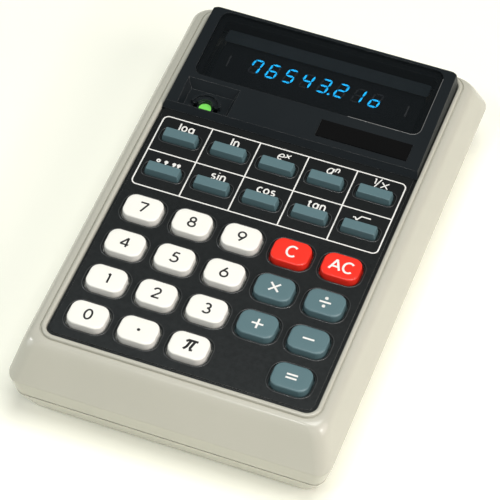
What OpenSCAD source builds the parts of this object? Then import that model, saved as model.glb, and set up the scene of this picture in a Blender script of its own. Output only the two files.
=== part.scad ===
// Pocket scientific calculator with a tube display. Millimetres.
// Origin: middle of the footprint, on the surface that the feet stand on.
// +X points right, +Y towards the display, +Z up.

/* [Case] */
// Width of the raised lip round the keyboard opening
lip_w = 1.1; // [0.8:0.1:2]
// Height of that lip above the deck
lip_h = 0.5; // [0.3:0.1:1]
// Lip to widest edge line, at the sides
side_flare = 5.95; // [5:0.05:9]
// Lip to widest edge line, at the front
chin_l = 8.1; // [5:0.1:10]
// Lip to widest edge line, at the back
heel_l = 5.2; // [4:0.1:8]
// Underside to deck
case_h = 25; // [24.5:0.1:30]
// Underside to the widest edge line
edge_h = 14; // [13:0.1:17]
// Underside to the seam of the two shells
seam_h = 8.4; // [8:0.1:10]
// How far the seam lies inside the widest edge line
tuck = 1.5; // [0.8:0.1:2.4]
// How far the underside lies inside the widest edge line
base_inset = 4; // [3:0.1:5]
// Shell thickness at the seam
case_wall = 2.4; // [1.8:0.1:3]
// Height of the rubber feet below the underside
foot_h = 1; // [0.6:0.1:2]
// Radius of the rubber feet
foot_r = 2.8; // [2:0.1:3.2]

/* [Keyboard] */
// Column spacing of all keys
key_pitch_x = 13.5; // [13:0.05:16]
// Row spacing of the main keys
key_pitch_y = 12.35; // [11.5:0.05:15]
// Width of a main key
key_w = 10.2; // [9:0.1:10.8]
// Depth of a main key
key_d = 7.8; // [6.6:0.1:8.4]
// Plan corner radius of a main key
key_r = 2.6; // [1.5:0.1:3.2]
// Width of a function key
func_w = 9.5; // [8:0.1:10]
// Depth of a function key
func_d = 3.1; // [2.4:0.1:4]
// Row spacing of the function keys
func_pitch_y = 12.4; // [11:0.05:15]
// Top main row to lower function row
func_drop = 13.9; // [12:0.05:16]
// Height of the key tops above the panel
key_rise = 1.45; // [1.3:0.05:3]
// How far a key goes down
key_travel = 1.2; // [0.8:0.1:1.3]
// Space between a key and its hole
key_gap = 0.4; // [0.3:0.05:0.6]
// Outer key column to the side of the opening
side_margin = 3.75; // [3:0.05:6]
// Front key row to the front of the opening
front_margin = 4.45; // [3:0.05:6]
// Upper function row to the hood
top_margin = 8.85; // [8:0.05:12]
// Thickness of the keyboard panel
panel_t = 2.2; // [1.6:0.1:2.4]

/* [Display] */
// Length of the hood from the panel to the back of the opening
hood_l = 37.25; // [36:0.05:45]
// Height of the hood above the panel at the front
hood_front = 1.8; // [1.2:0.1:3]
// Height of the hood above the panel at the back
hood_back = 3.2; // [2.6:0.1:6]
// Width of the window
window_w = 63.4; // [56:0.1:64]
// Length of the window
window_l = 23.3; // [18:0.1:23.6]
// Thickness of the window
window_t = 1.2; // [0.8:0.1:1.4]
// Width of the blank name plate
plate_w = 25.2; // [20:0.1:28]
// Length of the blank name plate
plate_l = 5.6; // [4:0.1:6]
// Width of the switch pocket
pocket_w = 14.2; // [12:0.1:15]
// Length of the switch pocket
pocket_l = 9.1; // [8.8:0.1:9.6]
// Radius of the half ring of the switch knob
knob_r = 4.2; // [3.6:0.1:4.4]
// Slide of the switch knob
knob_travel = 2; // [1.2:0.1:2.2]
// Length of the display tube
tube_w = 62; // [54:0.5:64]
// Width of the display tube
tube_d = 18; // [14:0.5:18.5]

/* [Power] */
// Radius of a cell
cell_r = 7.25; // [7:0.05:7.3]
// Length of a cell
cell_l = 50.5; // [48:0.1:51]
// Spacing of the cells
cell_pitch = 14.7; // [14.65:0.05:15.2]
// Bore radius of the adaptor jack
jack_r = 1.8; // [1.5:0.05:2]
// Depth of the adaptor jack bore
jack_l = 12; // [9:0.1:13]

/* [Fits] */
// Gap round fixed inserts
fit = 0.25; // [0.15:0.01:0.35]
// Gap round sliding pieces
slide_gap = 0.15; // [0.1:0.01:0.2]
// Radius of the case and board screws
screw_r = 1.25; // [1:0.05:1.4]

/* [Hidden] */
$fn = 48;
seg = 6;

columns = 5;
rows = 4;
hood_wall = 1.6;
nub_l = 2.5;
nub_gap = 0.3;
keys_hw = (columns - 1) * key_pitch_x / 2 + key_w / 2 + side_margin;
tube_room_hw = tube_w / 2 + nub_l + nub_gap + hood_wall + fit;
open_hw = max(keys_hw, tube_room_hw);
panel_l = front_margin + key_d / 2 + (rows - 1) * key_pitch_y + func_drop + func_pitch_y + top_margin;
open_l = panel_l + hood_l;
open_r = 3;
lip_hw = open_hw + lip_w;
edge_hw = lip_hw + side_flare;
case_l = chin_l + heel_l + 2 * lip_w + open_l;
y_front = -case_l / 2;
y_back = case_l / 2;
open_front = y_front + chin_l + lip_w;
open_back = y_back - heel_l - lip_w;
panel_back = open_front + panel_l;

base_z = foot_h;
deck_z = base_z + case_h;
edge_z = base_z + edge_h;
seam_z = base_z + seam_h;
seam_gap = 0.15;
seat = 0.02;
panel_z = deck_z;
deck_t = 2.6;
cav_z = deck_z - deck_t;

// Insets of the seam and the underside at front and back
tuck_front = 0.53 * tuck;
tuck_back = 0.67 * tuck;
base_front = 0.975 * base_inset;
base_back = base_inset;
base_hw = edge_hw - base_inset;
base_r = 3.4;
edge_r = 4.2;
seam_r = 3.2;
base_break = 0.9;

// Straight part of the shoulder, with the shares of chin and heel left at its top
shoulder_h = deck_z - edge_z;
face_h = 0.745 * shoulder_h;
chin_share = 0.445;
heel_share = 0.308;
face_lean = chin_l * (1 - chin_share) / face_h;

// Inside of the upper shell, which leans in with the front and back faces above lean_z
lean_z = edge_z + 0.2 * shoulder_h;
rear_wall = case_wall / 2;
cav_hw = edge_hw - tuck - case_wall;
cav_front = y_front + tuck_front + case_wall;
cav_back = y_back - tuck_back - case_wall - 0.5;
cav_front_top = cav_front + face_lean * (cav_z - lean_z);
cav_back_top = y_back - heel_l * (1 - heel_share) - rear_wall;
cav_r = 3;

// Rows of keys, counted from the front
function col_x(c) = (c - (columns - 1) / 2) * key_pitch_x;
function row_y(r) = open_front + front_margin + key_d / 2 + r * key_pitch_y;
func_y0 = row_y(rows - 1) + func_drop;
func_y1 = func_y0 + func_pitch_y;

// Heights under the panel
panel_under = panel_z - panel_t;
key_top = panel_z + key_rise;
func_top = key_top + 0.2;
cap_t = 0.9;
cap_z = panel_under - 0.2 - cap_t;
flange_z = cav_z - 1.2;
flange_t = 1.15;
flange_hw = cav_hw - 0.4;
ear = 0.5;
stem_r = 1.8;
mat_t = 0.5;
board_t = 1.2;

// Cells and the bay that holds them
floor_t = 1.8;
floor_z = base_z + floor_t;
door_top = floor_z - 0.05;
cell_z = door_top + 0.15 + cell_r;
bay_hw = 1.5 * cell_pitch + cell_r + 0.4;
bay_wall = 1.2;
bay_end = 1.35;
contact_l = 3.2;
bay_l = cell_l + 2 * contact_l;
bay_back = y_back - base_back - 2.05;
bay_front = bay_back - bay_l;
bay_in = cell_z + cell_r + 0.25;
bay_top = bay_in + 0.7;

// Boards
key_board_z = bay_top + 0.2;
key_board_top = key_board_z + board_t;
mat_top = key_board_top + mat_t;
stem_z = mat_top + key_travel + 0.1;
main_board_z = floor_z + 5.2;
main_board_top = main_board_z + board_t;
main_hw = base_hw - 3.5;
main_front = y_front + base_front + 1.5;
main_back = bay_front - bay_wall - 0.5;
key_board_hw = col_x(columns - 1) + key_w / 2 + 1.4;
key_board_front = row_y(0) - key_d / 2 - 2.6;
key_board_back = func_y1 + func_d / 2 + 5.5;
disp_board_front = panel_back + 0.8;
disp_board_back = open_back - 2.2;
disp_board_hw = bay_hw - 0.3;
disp_board_t = 1.2;
disp_board_z = key_board_top - disp_board_t;
disp_board_top = key_board_top;

// Screws that join the shells
boss_in = 4.6;
boss_x = base_hw - boss_in;
boss_front = y_front + base_front + boss_in;
boss_back = y_back - base_back - boss_in;
boss_r = 3.2;
boss_split = bay_top + 0.1;
boss_top = min(flange_z - 0.5, cap_z - key_travel - 0.4);
head_r = screw_r + 1.05;
head_z = base_z + 5;
post_r = 2.2;
screw_pts = [[-1.5 * key_pitch_x, (func_y0 + row_y(rows - 1)) / 2],
             [1.5 * key_pitch_x, (func_y0 + row_y(rows - 1)) / 2],
             [key_pitch_x, row_y(0)]];
rear_pts = [[-1.5 * key_pitch_x, func_y1 + func_d / 2 + 3.8],
            [1.5 * key_pitch_x, func_y1 + func_d / 2 + 3.8]];
post_pts = concat(screw_pts, rear_pts);
main_pts = [[-main_hw + 6, main_front + 14], [main_hw - 6, main_front + 14],
            [-main_hw + 6, main_back - 6], [main_hw - 6, main_back - 6]];
foot_pts = [[-base_hw + 11, y_front + base_front + 9], [base_hw - 11, y_front + base_front + 9],
            [-base_hw + 4, boss_back - 12], [base_hw - 4, boss_back - 12]];

// Hood
hood_y0 = panel_back + 0.15;
hood_y1 = open_back - fit;
hood_hw = open_hw - fit;
hood_top0 = panel_z + hood_front;
hood_top1 = panel_z + hood_back;
hood_lean = 1.3;
hood_r = open_r - fit;
roof_t = 2.8;
hood_tilt = atan((hood_top1 - hood_top0) / (hood_y1 - hood_y0 - hood_lean));
window_sink = 0.35;
window_r = 2.5;
window_y = (hood_y1 - hood_y0 - hood_lean) - 0.95 - window_l / 2;
plate_t = 0.4;
plate_x = hood_hw - 4.3 - plate_w / 2;
plate_y = 5;
pocket_x = -hood_hw + 3.6 + pocket_w / 2;
pocket_y0 = hood_y0 + 1.5;
pocket_floor = panel_z - 0.2;
pocket_wall = 1.2;
pocket_slope = 1.1;
mark_r = 1.7;
mark_t = 0.25;
mark_y = pocket_y0 + 2;
knob_z = pocket_floor + slide_gap;
knob_t = 0.6;
ridge_h = 0.7;
knob_y = mark_y + 0.45;
leg_w = 1;
leg_l = 1.2;
leg_x = mark_r + 1.2;
leg_y = mark_y + 0.45 * knob_r;
leg_room = 0.3;
slot_y0 = leg_y - knob_travel - leg_l / 2 - leg_room;
slot_y1 = leg_y + leg_l / 2 + leg_room;
switch_hw = leg_x + 2.6;
switch_top = pocket_floor - 2.1;
leg_end = switch_top - 1.6;

// Display tube
tube_y = hood_y0 + 23.1;
tube_top = hood_top0 - roof_t + 0.2;
tube_h = 4.8;
tube_z = tube_top - tube_h;
glass_t = 1;
nub_r = 1.2;
lead_r = 0.35;
lead_pitch = 3.6;
lead_gap = 0.1;
lead_lap = 2;
lead_y = tube_y + tube_d / 2 + lead_gap + lead_r;
cradle_w = 8;
cradle_in = 5;
cradle_lap = 0.6;

// Adaptor jack in the left side
jack_y = (row_y(1) + row_y(2)) / 2;
jack_z = edge_z - 1.2;
jack_x = -(edge_hw - tuck * (edge_z - jack_z) / (edge_h - seam_h)) + 0.6;
jack_nose = jack_r + 0.9;
jack_body_x = -cav_hw + 1.7;

// Rounded rectangle from y0 to y1, half width hw
module plan(hw, y0, y1, r) {
    translate([-hw + r, y0]) square([2 * hw - 2 * r, y1 - y0]);
    translate([-hw, y0 + r]) square([2 * hw, y1 - y0 - 2 * r]);
    for (x = [-hw + r, hw - r]) {
        for (y = [y0 + r, y1 - r]) {
            translate([x, y]) circle(r);
        }
    }
}

module slab(hw, y0, y1, r, z0, z1) {
    translate([0, 0, z0]) linear_extrude(z1 - z0) plan(hw, y0, y1, r);
}

module box(x0, x1, y0, y1, z0, z1) {
    translate([x0, y0, z0]) cube([x1 - x0, y1 - y0, z1 - z0]);
}

// Points of one quarter circle
function quarter(cx, cy, r, a, z) =
    [for (i = [0 : seg]) [cx + r * cos(a + 90 * i / seg), cy + r * sin(a + 90 * i / seg), z]];

// One level of a shell: half width, front, back, height, corner radius
function level(hw, y0, y1, z, r) = concat(
    quarter(hw - r, y0 + r, r, -90, z), quarter(hw - r, y1 - r, r, 0, z),
    quarter(-hw + r, y1 - r, r, 90, z), quarter(-hw + r, y0 + r, r, 180, z));

// Solid through a list of levels, lowest first
module loft(levels) {
    n = len(levels[0]);
    k = len(levels);
    points = [for (l = levels) each l];
    low = [for (i = [0 : n - 1]) i];
    high = [for (i = [n - 1 : -1 : 0]) (k - 1) * n + i];
    sides = [for (j = [0 : k - 2]) for (i = [0 : n - 1])
        each [[j * n + i, (j + 1) * n + i, (j + 1) * n + (i + 1) % n],
              [j * n + i, (j + 1) * n + (i + 1) % n, j * n + (i + 1) % n]]];
    polyhedron(points, concat([low], [high], sides));
}

// Level between the widest edge (share 1) and the lip (share 0)
function shoulder(s, f, b, z, r) = level(lip_hw + s * side_flare,
    y_front + chin_l * (1 - f), y_back - heel_l * (1 - b), z, r);

upper_levels = [
    level(edge_hw - tuck, y_front + tuck_front, y_back - tuck_back, seam_z, seam_r),
    shoulder(1, 1, 1, edge_z, edge_r),
    shoulder(0.613, chin_share, heel_share, edge_z + face_h, 5),
    shoulder(0.551, 0.377, 0.224, edge_z + 0.836 * shoulder_h, 5),
    shoulder(0.451, 0.32, 0.145, edge_z + 0.909 * shoulder_h, 4.9),
    shoulder(0.332, 0.262, 0.082, edge_z + 0.956 * shoulder_h, 4.7),
    shoulder(0.209, 0.187, 0.02, edge_z + 0.982 * shoulder_h, 4.5),
    shoulder(-0.08, -0.06, -0.08, deck_z, 3.9)];
cavity_levels = [
    level(cav_hw, cav_front, cav_back, seam_z - 1, cav_r),
    level(cav_hw, cav_front, cav_back, lean_z, cav_r),
    level(cav_hw, cav_front_top, cav_back_top, cav_z, cav_r)];
lower_levels = [
    level(base_hw - base_break, y_front + base_front + base_break, y_back - base_back - base_break, base_z,
        base_r - base_break / 2),
    level(base_hw, y_front + base_front, y_back - base_back, base_z + base_break, base_r),
    level(edge_hw - tuck, y_front + tuck_front, y_back - tuck_back, seam_z - seam_gap, seam_r)];
tongue_in = 1.6;
tongue_h = 1.2;
hollow_levels = [
    level(base_hw - 1.6, y_front + base_front + 1.4, y_back - base_back - 1.6, floor_z, 3.4),
    level(cav_hw - tongue_in, cav_front + tongue_in, cav_back - tongue_in, seam_z, 3)];

module boss_spots() {
    for (x = [-boss_x, boss_x]) {
        for (y = [boss_front, boss_back]) {
            translate([x, y, 0]) children();
        }
    }
}

module upper_case() {
    color([0.83, 0.82, 0.76]) {
        difference() {
            union() {
                loft(upper_levels);
                slab(lip_hw, open_front - lip_w, open_back + lip_w, open_r + lip_w, deck_z - 0.6,
                    deck_z + lip_h);
            }
            slab(open_hw, open_front, open_back, open_r, cav_z - 1, deck_z + lip_h + 1);
            loft(cavity_levels);
            translate([-edge_hw - 1, jack_y, jack_z]) rotate([0, 90,
                0]) cylinder(r = jack_nose + 0.2, h = edge_hw);
        }
        difference() {
            union() {
                boss_spots() translate([0, 0, boss_split]) cylinder(r = boss_r,
                    h = boss_top - boss_split);
                for (x = [-1, 1]) {
                    for (y = [boss_front, boss_back]) {
                        box(x > 0 ? boss_x : -cav_hw - 0.5, x > 0 ? cav_hw + 0.5 : -boss_x,
                            y - 0.8, y + 0.8, boss_split, boss_top);
                    }
                }
            }
            boss_spots() translate([0, 0, boss_split - 1]) cylinder(r = screw_r + 0.03,
                h = boss_top - boss_split + 0.2);
        }
    }
}

module cell_bay() {
    box(-bay_hw - bay_wall, bay_hw + bay_wall, bay_front - bay_wall, bay_back + bay_end, floor_z - 0.4,
        bay_top);
}

module lower_case() {
    color([0.79, 0.78, 0.71]) difference() {
        union() {
            difference() {
                loft(lower_levels);
                loft(hollow_levels);
            }
            difference() {
                slab(cav_hw - slide_gap, cav_front + slide_gap, cav_back - slide_gap, cav_r - slide_gap,
                    seam_z - 1, seam_z + tongue_h);
                slab(cav_hw - slide_gap - 1, cav_front + slide_gap + 1, cav_back - slide_gap - 1, cav_r - 1,
                    seam_z - 2, seam_z + tongue_h + 1);
            }
            boss_spots() translate([0, 0, base_z + 0.5]) cylinder(r = boss_r,
                h = boss_split - 0.1 - base_z - 0.5);
            cell_bay();
            for (p = main_pts) {
                translate([p[0], p[1], floor_z - 0.4]) cylinder(r = 2.4,
                    h = main_board_z - floor_z + 0.4);
            }
            for (p = rear_pts) {
                translate([p[0], p[1], bay_top - 0.2]) cylinder(r = post_r,
                    h = key_board_z - bay_top + 0.18);
            }
            for (x = [-bay_hw + 3, bay_hw - 3]) {
                for (y = [disp_board_front + 3, disp_board_back - 3]) {
                    translate([x, y, bay_top - 0.2]) cylinder(r = 1.6,
                        h = disp_board_z - bay_top + 0.2);
                }
            }
        }
        // room for the cells, and the way in for the door
        box(-bay_hw, bay_hw, bay_front, bay_back, floor_z + 1.1, bay_in);
        box(-bay_hw + 1.1, bay_hw - 1.1, bay_front, bay_back, floor_z, bay_in);
        box(-bay_hw + 0.25, bay_hw - 0.25, bay_front, y_back, base_z + 0.95, floor_z + slide_gap);
        box(-bay_hw + 1.5, bay_hw - 1.5, bay_front, y_back, base_z - 1, floor_z);
        boss_spots() translate([0, 0, base_z - 1]) cylinder(r = head_r + 0.3, h = head_z - base_z + 1);
        boss_spots() translate([0, 0, base_z]) cylinder(r = screw_r + 0.25, h = boss_split);
        for (p = main_pts) {
            translate([p[0], p[1], floor_z]) cylinder(r = screw_r + 0.03, h = main_board_z);
        }
        for (p = foot_pts) {
            translate([p[0], p[1], base_z - 1]) cylinder(r = foot_r + 0.1, h = 1.6);
        }
    }
}

module keyboard_panel() {
    hw = open_hw - fit;
    y0 = open_front + fit;
    color([0.06, 0.07, 0.08]) difference() {
        union() {
            intersection() {
                slab(hw - 0.8, y0 + 0.8, panel_back + 10, open_r - 0.9, panel_under, panel_z);
                box(-hw, hw, y0, panel_back, panel_under, panel_z);
            }
            intersection() {
                slab(hw, y0, panel_back + 10, open_r - fit, flange_z, panel_z - 0.45);
                box(-hw, hw, y0, panel_back, flange_z, panel_z);
            }
            intersection() {
                slab(flange_hw, cav_front_top + 0.4, panel_back + 10, cav_r - 0.4, flange_z,
                    flange_z + flange_t);
                box(-flange_hw, flange_hw, cav_front_top, panel_back, flange_z, panel_z);
            }
            for (p = post_pts) {
                translate([p[0], p[1], key_board_top + seat]) cylinder(r = post_r,
                    h = panel_under - key_board_top + 0.2);
            }
        }
        difference() {
            box(-hw + 1.4, hw - 1.4, y0 + 1.4, panel_back + 1, flange_z - 1, panel_under);
            for (p = post_pts) {
                translate([p[0], p[1], flange_z - 2]) cylinder(r = post_r, h = 20);
            }
        }
        key_holes();
        for (p = screw_pts) {
            translate([p[0], p[1], key_board_top - 1]) cylinder(r = screw_r + 0.03,
                h = panel_under - key_board_top + 1.6);
        }
    }
}

module hole(x, y, w, d, r) {
    translate([x, y, 0]) {
        slab(w / 2 + key_gap, -d / 2 - key_gap, d / 2 + key_gap, r + key_gap, panel_under - 1,
            panel_z + 1);
        slab(w / 2 + key_gap + 0.5, -d / 2 - key_gap - 0.5, d / 2 + key_gap + 0.5,
            r + key_gap + 0.5, panel_z - 0.3, panel_z + 1);
    }
}

func_r = 0.8;

module key_holes() {
    for (r = [0 : rows - 1]) {
        for (c = [0 : columns - 1]) {
            if (r > 0 || c != 3) hole(col_x(c), row_y(r), key_w, key_d, key_r);
        }
    }
    for (y = [func_y0, func_y1]) {
        for (c = [0 : columns - 1]) {
            hole(col_x(c), y, func_w, func_d, func_r);
        }
    }
}

// Side profile of the hood, drawn in by a wall
module hood_side(wall, roof, low) {
    polygon([[hood_y0 + wall, low], [hood_y0 + wall, panel_z - roof * 0.8],
        [hood_y0 + hood_lean + wall * 0.8, hood_top0 - roof],
        [hood_y1 - wall, hood_top1 - roof], [hood_y1 - wall, low]]);
}

module hood_front_view(wall, low) {
    polygon([[-hood_hw + wall, low], [hood_hw - wall, low], [hood_hw - wall, panel_z + 0.7],
        [hood_hw - 0.9 - wall, hood_top1 + 0.1], [-hood_hw + 0.9 + wall, hood_top1 + 0.1],
        [-hood_hw + wall, panel_z + 0.7]]);
}

module hood_block(wall, roof, low) {
    intersection() {
        translate([-hood_hw, 0, 0]) rotate([90, 0, 90]) linear_extrude(2 * hood_hw) hood_side(wall,
            roof, low);
        translate([0, hood_y1, 0]) rotate([90, 0,
            0]) linear_extrude(hood_y1 - hood_y0) hood_front_view(wall, low);
    }
}

module hood_outside() {
    intersection() {
        hood_block(0, 0, flange_z);
        slab(hood_hw, hood_y0 - 2 * hood_r, hood_y1, hood_r, flange_z - 1, hood_top1 + 1);
    }
}

// Frame that lies in the sloping top of the hood
module on_hood() {
    translate([0, hood_y0 + hood_lean, hood_top0]) rotate([hood_tilt, 0, 0]) children();
}

// Pocket of the switch, with sloping sides and back
module pocket() {
    top = pocket_floor + 6;
    rise = 6 / (hood_top0 - pocket_floor);
    w = pocket_w / 2;
    intersection() {
        translate([pocket_x, pocket_y0 + 2 * pocket_l, 0]) rotate([90, 0,
            0]) linear_extrude(2 * pocket_l)
            polygon([[-w + pocket_slope, pocket_floor], [w - pocket_slope, pocket_floor],
                [w + pocket_slope * (rise - 1), top], [-w - pocket_slope * (rise - 1), top]]);
        translate([pocket_x - pocket_w, 0, 0]) rotate([90, 0, 90]) linear_extrude(2 * pocket_w)
            polygon([[pocket_y0, pocket_floor], [pocket_y0 + pocket_l - 1.6, pocket_floor],
                [pocket_y0 + pocket_l + 1.6 * (rise - 1), top], [pocket_y0, top]]);
    }
}

module display_hood() {
    color([0.13, 0.17, 0.19]) difference() {
        union() {
            difference() {
                union() {
                    hood_outside();
                    intersection() {
                        slab(flange_hw, hood_y0, cav_back_top - 0.4, 2, flange_z, flange_z + flange_t);
                        box(-flange_hw, flange_hw, hood_y0 + 3, cav_back_top, flange_z, panel_z);
                    }
                }
                hood_block(hood_wall, roof_t, flange_z - 1);
            }
            intersection() {
                hood_outside();
                box(pocket_x - pocket_w / 2 - pocket_wall, pocket_x + pocket_w / 2 + pocket_wall,
                    hood_y0, pocket_y0 + pocket_l + pocket_wall, pocket_floor - 1.4, hood_top1);
            }
        }
        pocket();
        leg_slots(pocket_floor - 3, pocket_floor + 1);
        translate([pocket_x, mark_y, pocket_floor - mark_t * 0.6]) cylinder(r = mark_r + 0.05, h = 2);
        on_hood() {
            slab(window_w / 2 + 0.1, window_y - window_l / 2 - 0.1, window_y + window_l / 2 + 0.1,
                window_r + 0.1, -window_sink - window_t, 3);
            slab(window_w / 2 - 1.4, window_y - window_l / 2 + 1.4, window_y + window_l / 2 - 1.4,
                window_r - 1, -8, 3);
            box(plate_x - plate_w / 2 - 0.1, plate_x + plate_w / 2 + 0.1,
                plate_y - plate_l / 2 - 0.1, plate_y + plate_l / 2 + 0.1, -plate_t / 2, 3);
        }
    }
}

module display_window() {
    color([0.1, 0.14, 0.2, 0.6]) on_hood()
        slab(window_w / 2, window_y - window_l / 2, window_y + window_l / 2, window_r,
            -window_sink - window_t + seat, -window_sink);
}

module name_plate() {
    color([0.03, 0.03, 0.03]) on_hood()
        box(plate_x - plate_w / 2, plate_x + plate_w / 2, plate_y - plate_l / 2,
            plate_y + plate_l / 2, -plate_t / 2 + seat, plate_t / 2);
}

module display_tube() {
    color([0.5, 0.6, 0.62, 0.5]) difference() {
        union() {
            box(-tube_w / 2, tube_w / 2, tube_y - tube_d / 2, tube_y + tube_d / 2, tube_z, tube_top);
            translate([tube_w / 2 - glass_t / 2, tube_y, tube_z + tube_h / 2])
                rotate([0, 90, 0]) cylinder(r = nub_r, h = nub_l + glass_t / 2);
        }
        box(-tube_w / 2 + glass_t, tube_w / 2 - glass_t, tube_y - tube_d / 2 + glass_t,
            tube_y + tube_d / 2 - glass_t, tube_z + glass_t, tube_top - glass_t);
    }
}

module tube_segments() {
    color([0.1, 0.12, 0.14])
        box(-tube_w / 2 + 2.5, tube_w / 2 - 2.5, tube_y - tube_d / 2 + 2, tube_y + tube_d / 2 - 2,
            tube_z + glass_t + seat, tube_top - glass_t - 0.3);
}

module tube_leads() {
    color([0.75, 0.72, 0.66])
        for (i = [0 : 13]) {
            translate([(i - 6.5) * lead_pitch, lead_y, disp_board_top + seat])
                cylinder(r = lead_r, h = tube_z + lead_lap - disp_board_top);
        }
}

module tube_cradle() {
    color([0.25, 0.25, 0.26])
        for (x = [-tube_w / 2 + cradle_in, tube_w / 2 - cradle_in]) {
            box(x - cradle_w / 2, x + cradle_w / 2, tube_y - tube_d / 2 - cradle_lap,
                tube_y + tube_d / 2 - cradle_lap, disp_board_top + seat, tube_z - seat);
        }
}

module display_board() {
    color([0.35, 0.27, 0.12])
        box(-disp_board_hw, disp_board_hw, disp_board_front, disp_board_back, disp_board_z + seat,
            disp_board_top);
}

ribbon_w = 22;
ribbon_t = 0.35;

module display_ribbon() {
    color([0.78, 0.78, 0.74])
        box(-ribbon_w / 2, ribbon_w / 2, key_board_back - 2.5, disp_board_front + 4,
            key_board_top + seat, key_board_top + ribbon_t);
}

module dome(x, y) {
    translate([x, y, 0]) rotate_extrude()
        polygon([[2.5, key_board_top + seat], [3.3, key_board_top + seat], [3.3, mat_top], [2.2,
            stem_z - 0.05], [0, stem_z - 0.05],
            [0, stem_z - 0.75], [1.6, stem_z - 0.75]]);
}

module key_mat() {
    color([0.55, 0.55, 0.55]) union() {
        difference() {
            box(-key_board_hw + 0.6, key_board_hw - 0.6, key_board_front + 0.6, key_board_back - 3,
                key_board_top + seat, mat_top);
            key_spots() translate([0, 0, key_board_top - 1]) cylinder(r = 3, h = 5);
            for (p = post_pts) {
                translate([p[0], p[1], key_board_top - 1]) cylinder(r = post_r + 0.3, h = 5);
            }
            boss_spots() translate([0, 0, key_board_top - 1]) cylinder(r = boss_r + 0.9, h = 5);
        }
        key_spots() dome(0, 0);
    }
}

module key_spots() {
    for (r = [0 : rows - 1]) {
        for (c = [0 : columns - 1]) {
            if (r > 0 || c != 3) translate([col_x(c), row_y(r), 0]) children();
        }
    }
    for (y = [func_y0, func_y1]) {
        for (c = [0 : columns - 1]) {
            translate([col_x(c), y, 0]) children();
        }
    }
}

module key_board() {
    color([0.42, 0.32, 0.14]) difference() {
        box(-key_board_hw, key_board_hw, key_board_front, key_board_back, key_board_z, key_board_top);
        for (p = screw_pts) {
            translate([p[0], p[1], key_board_z - 1]) cylinder(r = screw_r + 0.2, h = 5);
        }
        boss_spots() translate([0, 0, key_board_z - 1]) cylinder(r = boss_r + 0.4, h = 5);
    }
}

module main_board() {
    color([0.42, 0.32, 0.14]) difference() {
        box(-main_hw, main_hw, main_front, main_back, main_board_z + seat, main_board_top);
        for (p = main_pts) {
            translate([p[0], p[1], main_board_z - 1]) cylinder(r = screw_r + 0.2, h = 5);
        }
        boss_spots() translate([0, 0, main_board_z - 1]) cylinder(r = boss_r + 0.4, h = 5);
    }
}

module board_pins() {
    color([0.8, 0.76, 0.6])
        for (i = [0 : pin_count - 1]) {
            translate([(i - (pin_count - 1) / 2) * pin_pitch, main_back - 2, main_board_top + seat])
                cylinder(r = pin_r, h = key_board_z - main_board_top - 2 * seat);
        }
}

pin_pitch = 2.54;
pin_count = 14;
pin_r = 0.35;
chip_x = 4;
chip_y = main_front + 31;
chip_w = 48;
chip_d = 13.4;
chip_t = 3.6;
chip_lift = 1;
chip_pins = 18;
chip_pin = [0.5, 1.3, 2.6];
chip_row = 7.2;

module logic_chip() {
    color([0.12, 0.12, 0.13]) union() {
        box(chip_x - chip_w / 2, chip_x + chip_w / 2, chip_y - chip_d / 2, chip_y + chip_d / 2,
            main_board_top + chip_lift, main_board_top + chip_lift + chip_t);
        for (i = [0 : chip_pins - 1]) {
            for (s = [-1, 1]) {
                translate([chip_x + (i - (chip_pins - 1) / 2) * pin_pitch - chip_pin[0] / 2,
                    chip_y + s * chip_row - chip_pin[1] / 2, main_board_top + seat]) cube(chip_pin);
            }
        }
    }
}

coil_r = 5.4;
coil_h = 6;
coil_base = [14, 12, 1.4];
coil_x = main_hw - 16;
coil_y = main_front + 12;

module converter_coil() {
    color([0.5, 0.3, 0.12])
        translate([coil_x, coil_y, main_board_top + seat]) {
            translate([-coil_base[0] / 2, -coil_base[1] / 2, 0]) cube(coil_base);
            cylinder(r = coil_r, h = coil_h);
        }
}

can_r = 3;
can_l = 11;
can_pitch = 9;
can_x = -main_hw + 14;
can_y = main_front + 6;

module capacitors() {
    color([0.2, 0.26, 0.5])
        for (i = [0 : 2]) {
            translate([can_x + i * can_pitch, can_y, main_board_top + seat + can_r])
                rotate([-90, 0, 0]) cylinder(r = can_r, h = can_l);
        }
}

module switch_body() {
    color([0.3, 0.31, 0.33]) difference() {
        box(pocket_x - switch_hw, pocket_x + switch_hw, hood_y0 + hood_wall + leg_room, slot_y1 + 2,
            disp_board_top + seat, switch_top);
        leg_slots(leg_end - 0.4, switch_top + 1);
    }
}

// Slots for the two legs of the knob
module leg_slots(z0, z1) {
    w = leg_w / 2 + slide_gap;
    for (x = [pocket_x - leg_x, pocket_x + leg_x]) {
        box(x - w, x + w, slot_y0, slot_y1, z0, z1);
    }
}

// Half ring round the on mark with two raised arcs, and the legs that work the switch
module switch_knob() {
    color([0.09, 0.1, 0.11]) union() {
        difference() {
            translate([pocket_x, mark_y, 0]) union() {
                translate([0, 0, knob_z]) cylinder(r = knob_r, h = knob_t);
                arc(knob_r - 0.6, knob_r);
                arc(mark_r + 0.3, mark_r + 0.9);
            }
            translate([pocket_x, mark_y, knob_z - 1]) cylinder(r = mark_r + 0.15, h = 4);
            box(pocket_x - 2 * knob_r, pocket_x + 2 * knob_r, mark_y - 2 * knob_r, knob_y,
                knob_z - 1, knob_z + 4);
        }
        for (x = [pocket_x - leg_x, pocket_x + leg_x]) {
            box(x - leg_w / 2, x + leg_w / 2, leg_y - leg_l / 2, leg_y + leg_l / 2, leg_end,
                knob_z + knob_t / 2);
        }
    }
}

module arc(r0, r1) {
    translate([0, 0, knob_z]) difference() {
        cylinder(r = r1, h = knob_t + ridge_h);
        translate([0, 0, -1]) cylinder(r = r0, h = knob_t + ridge_h + 2);
    }
}

module on_mark() {
    color([0.45, 0.9, 0.34])
        translate([pocket_x, mark_y, pocket_floor - mark_t * 0.6 + 0.01]) cylinder(r = mark_r,
            h = mark_t * 0.7);
}

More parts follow.
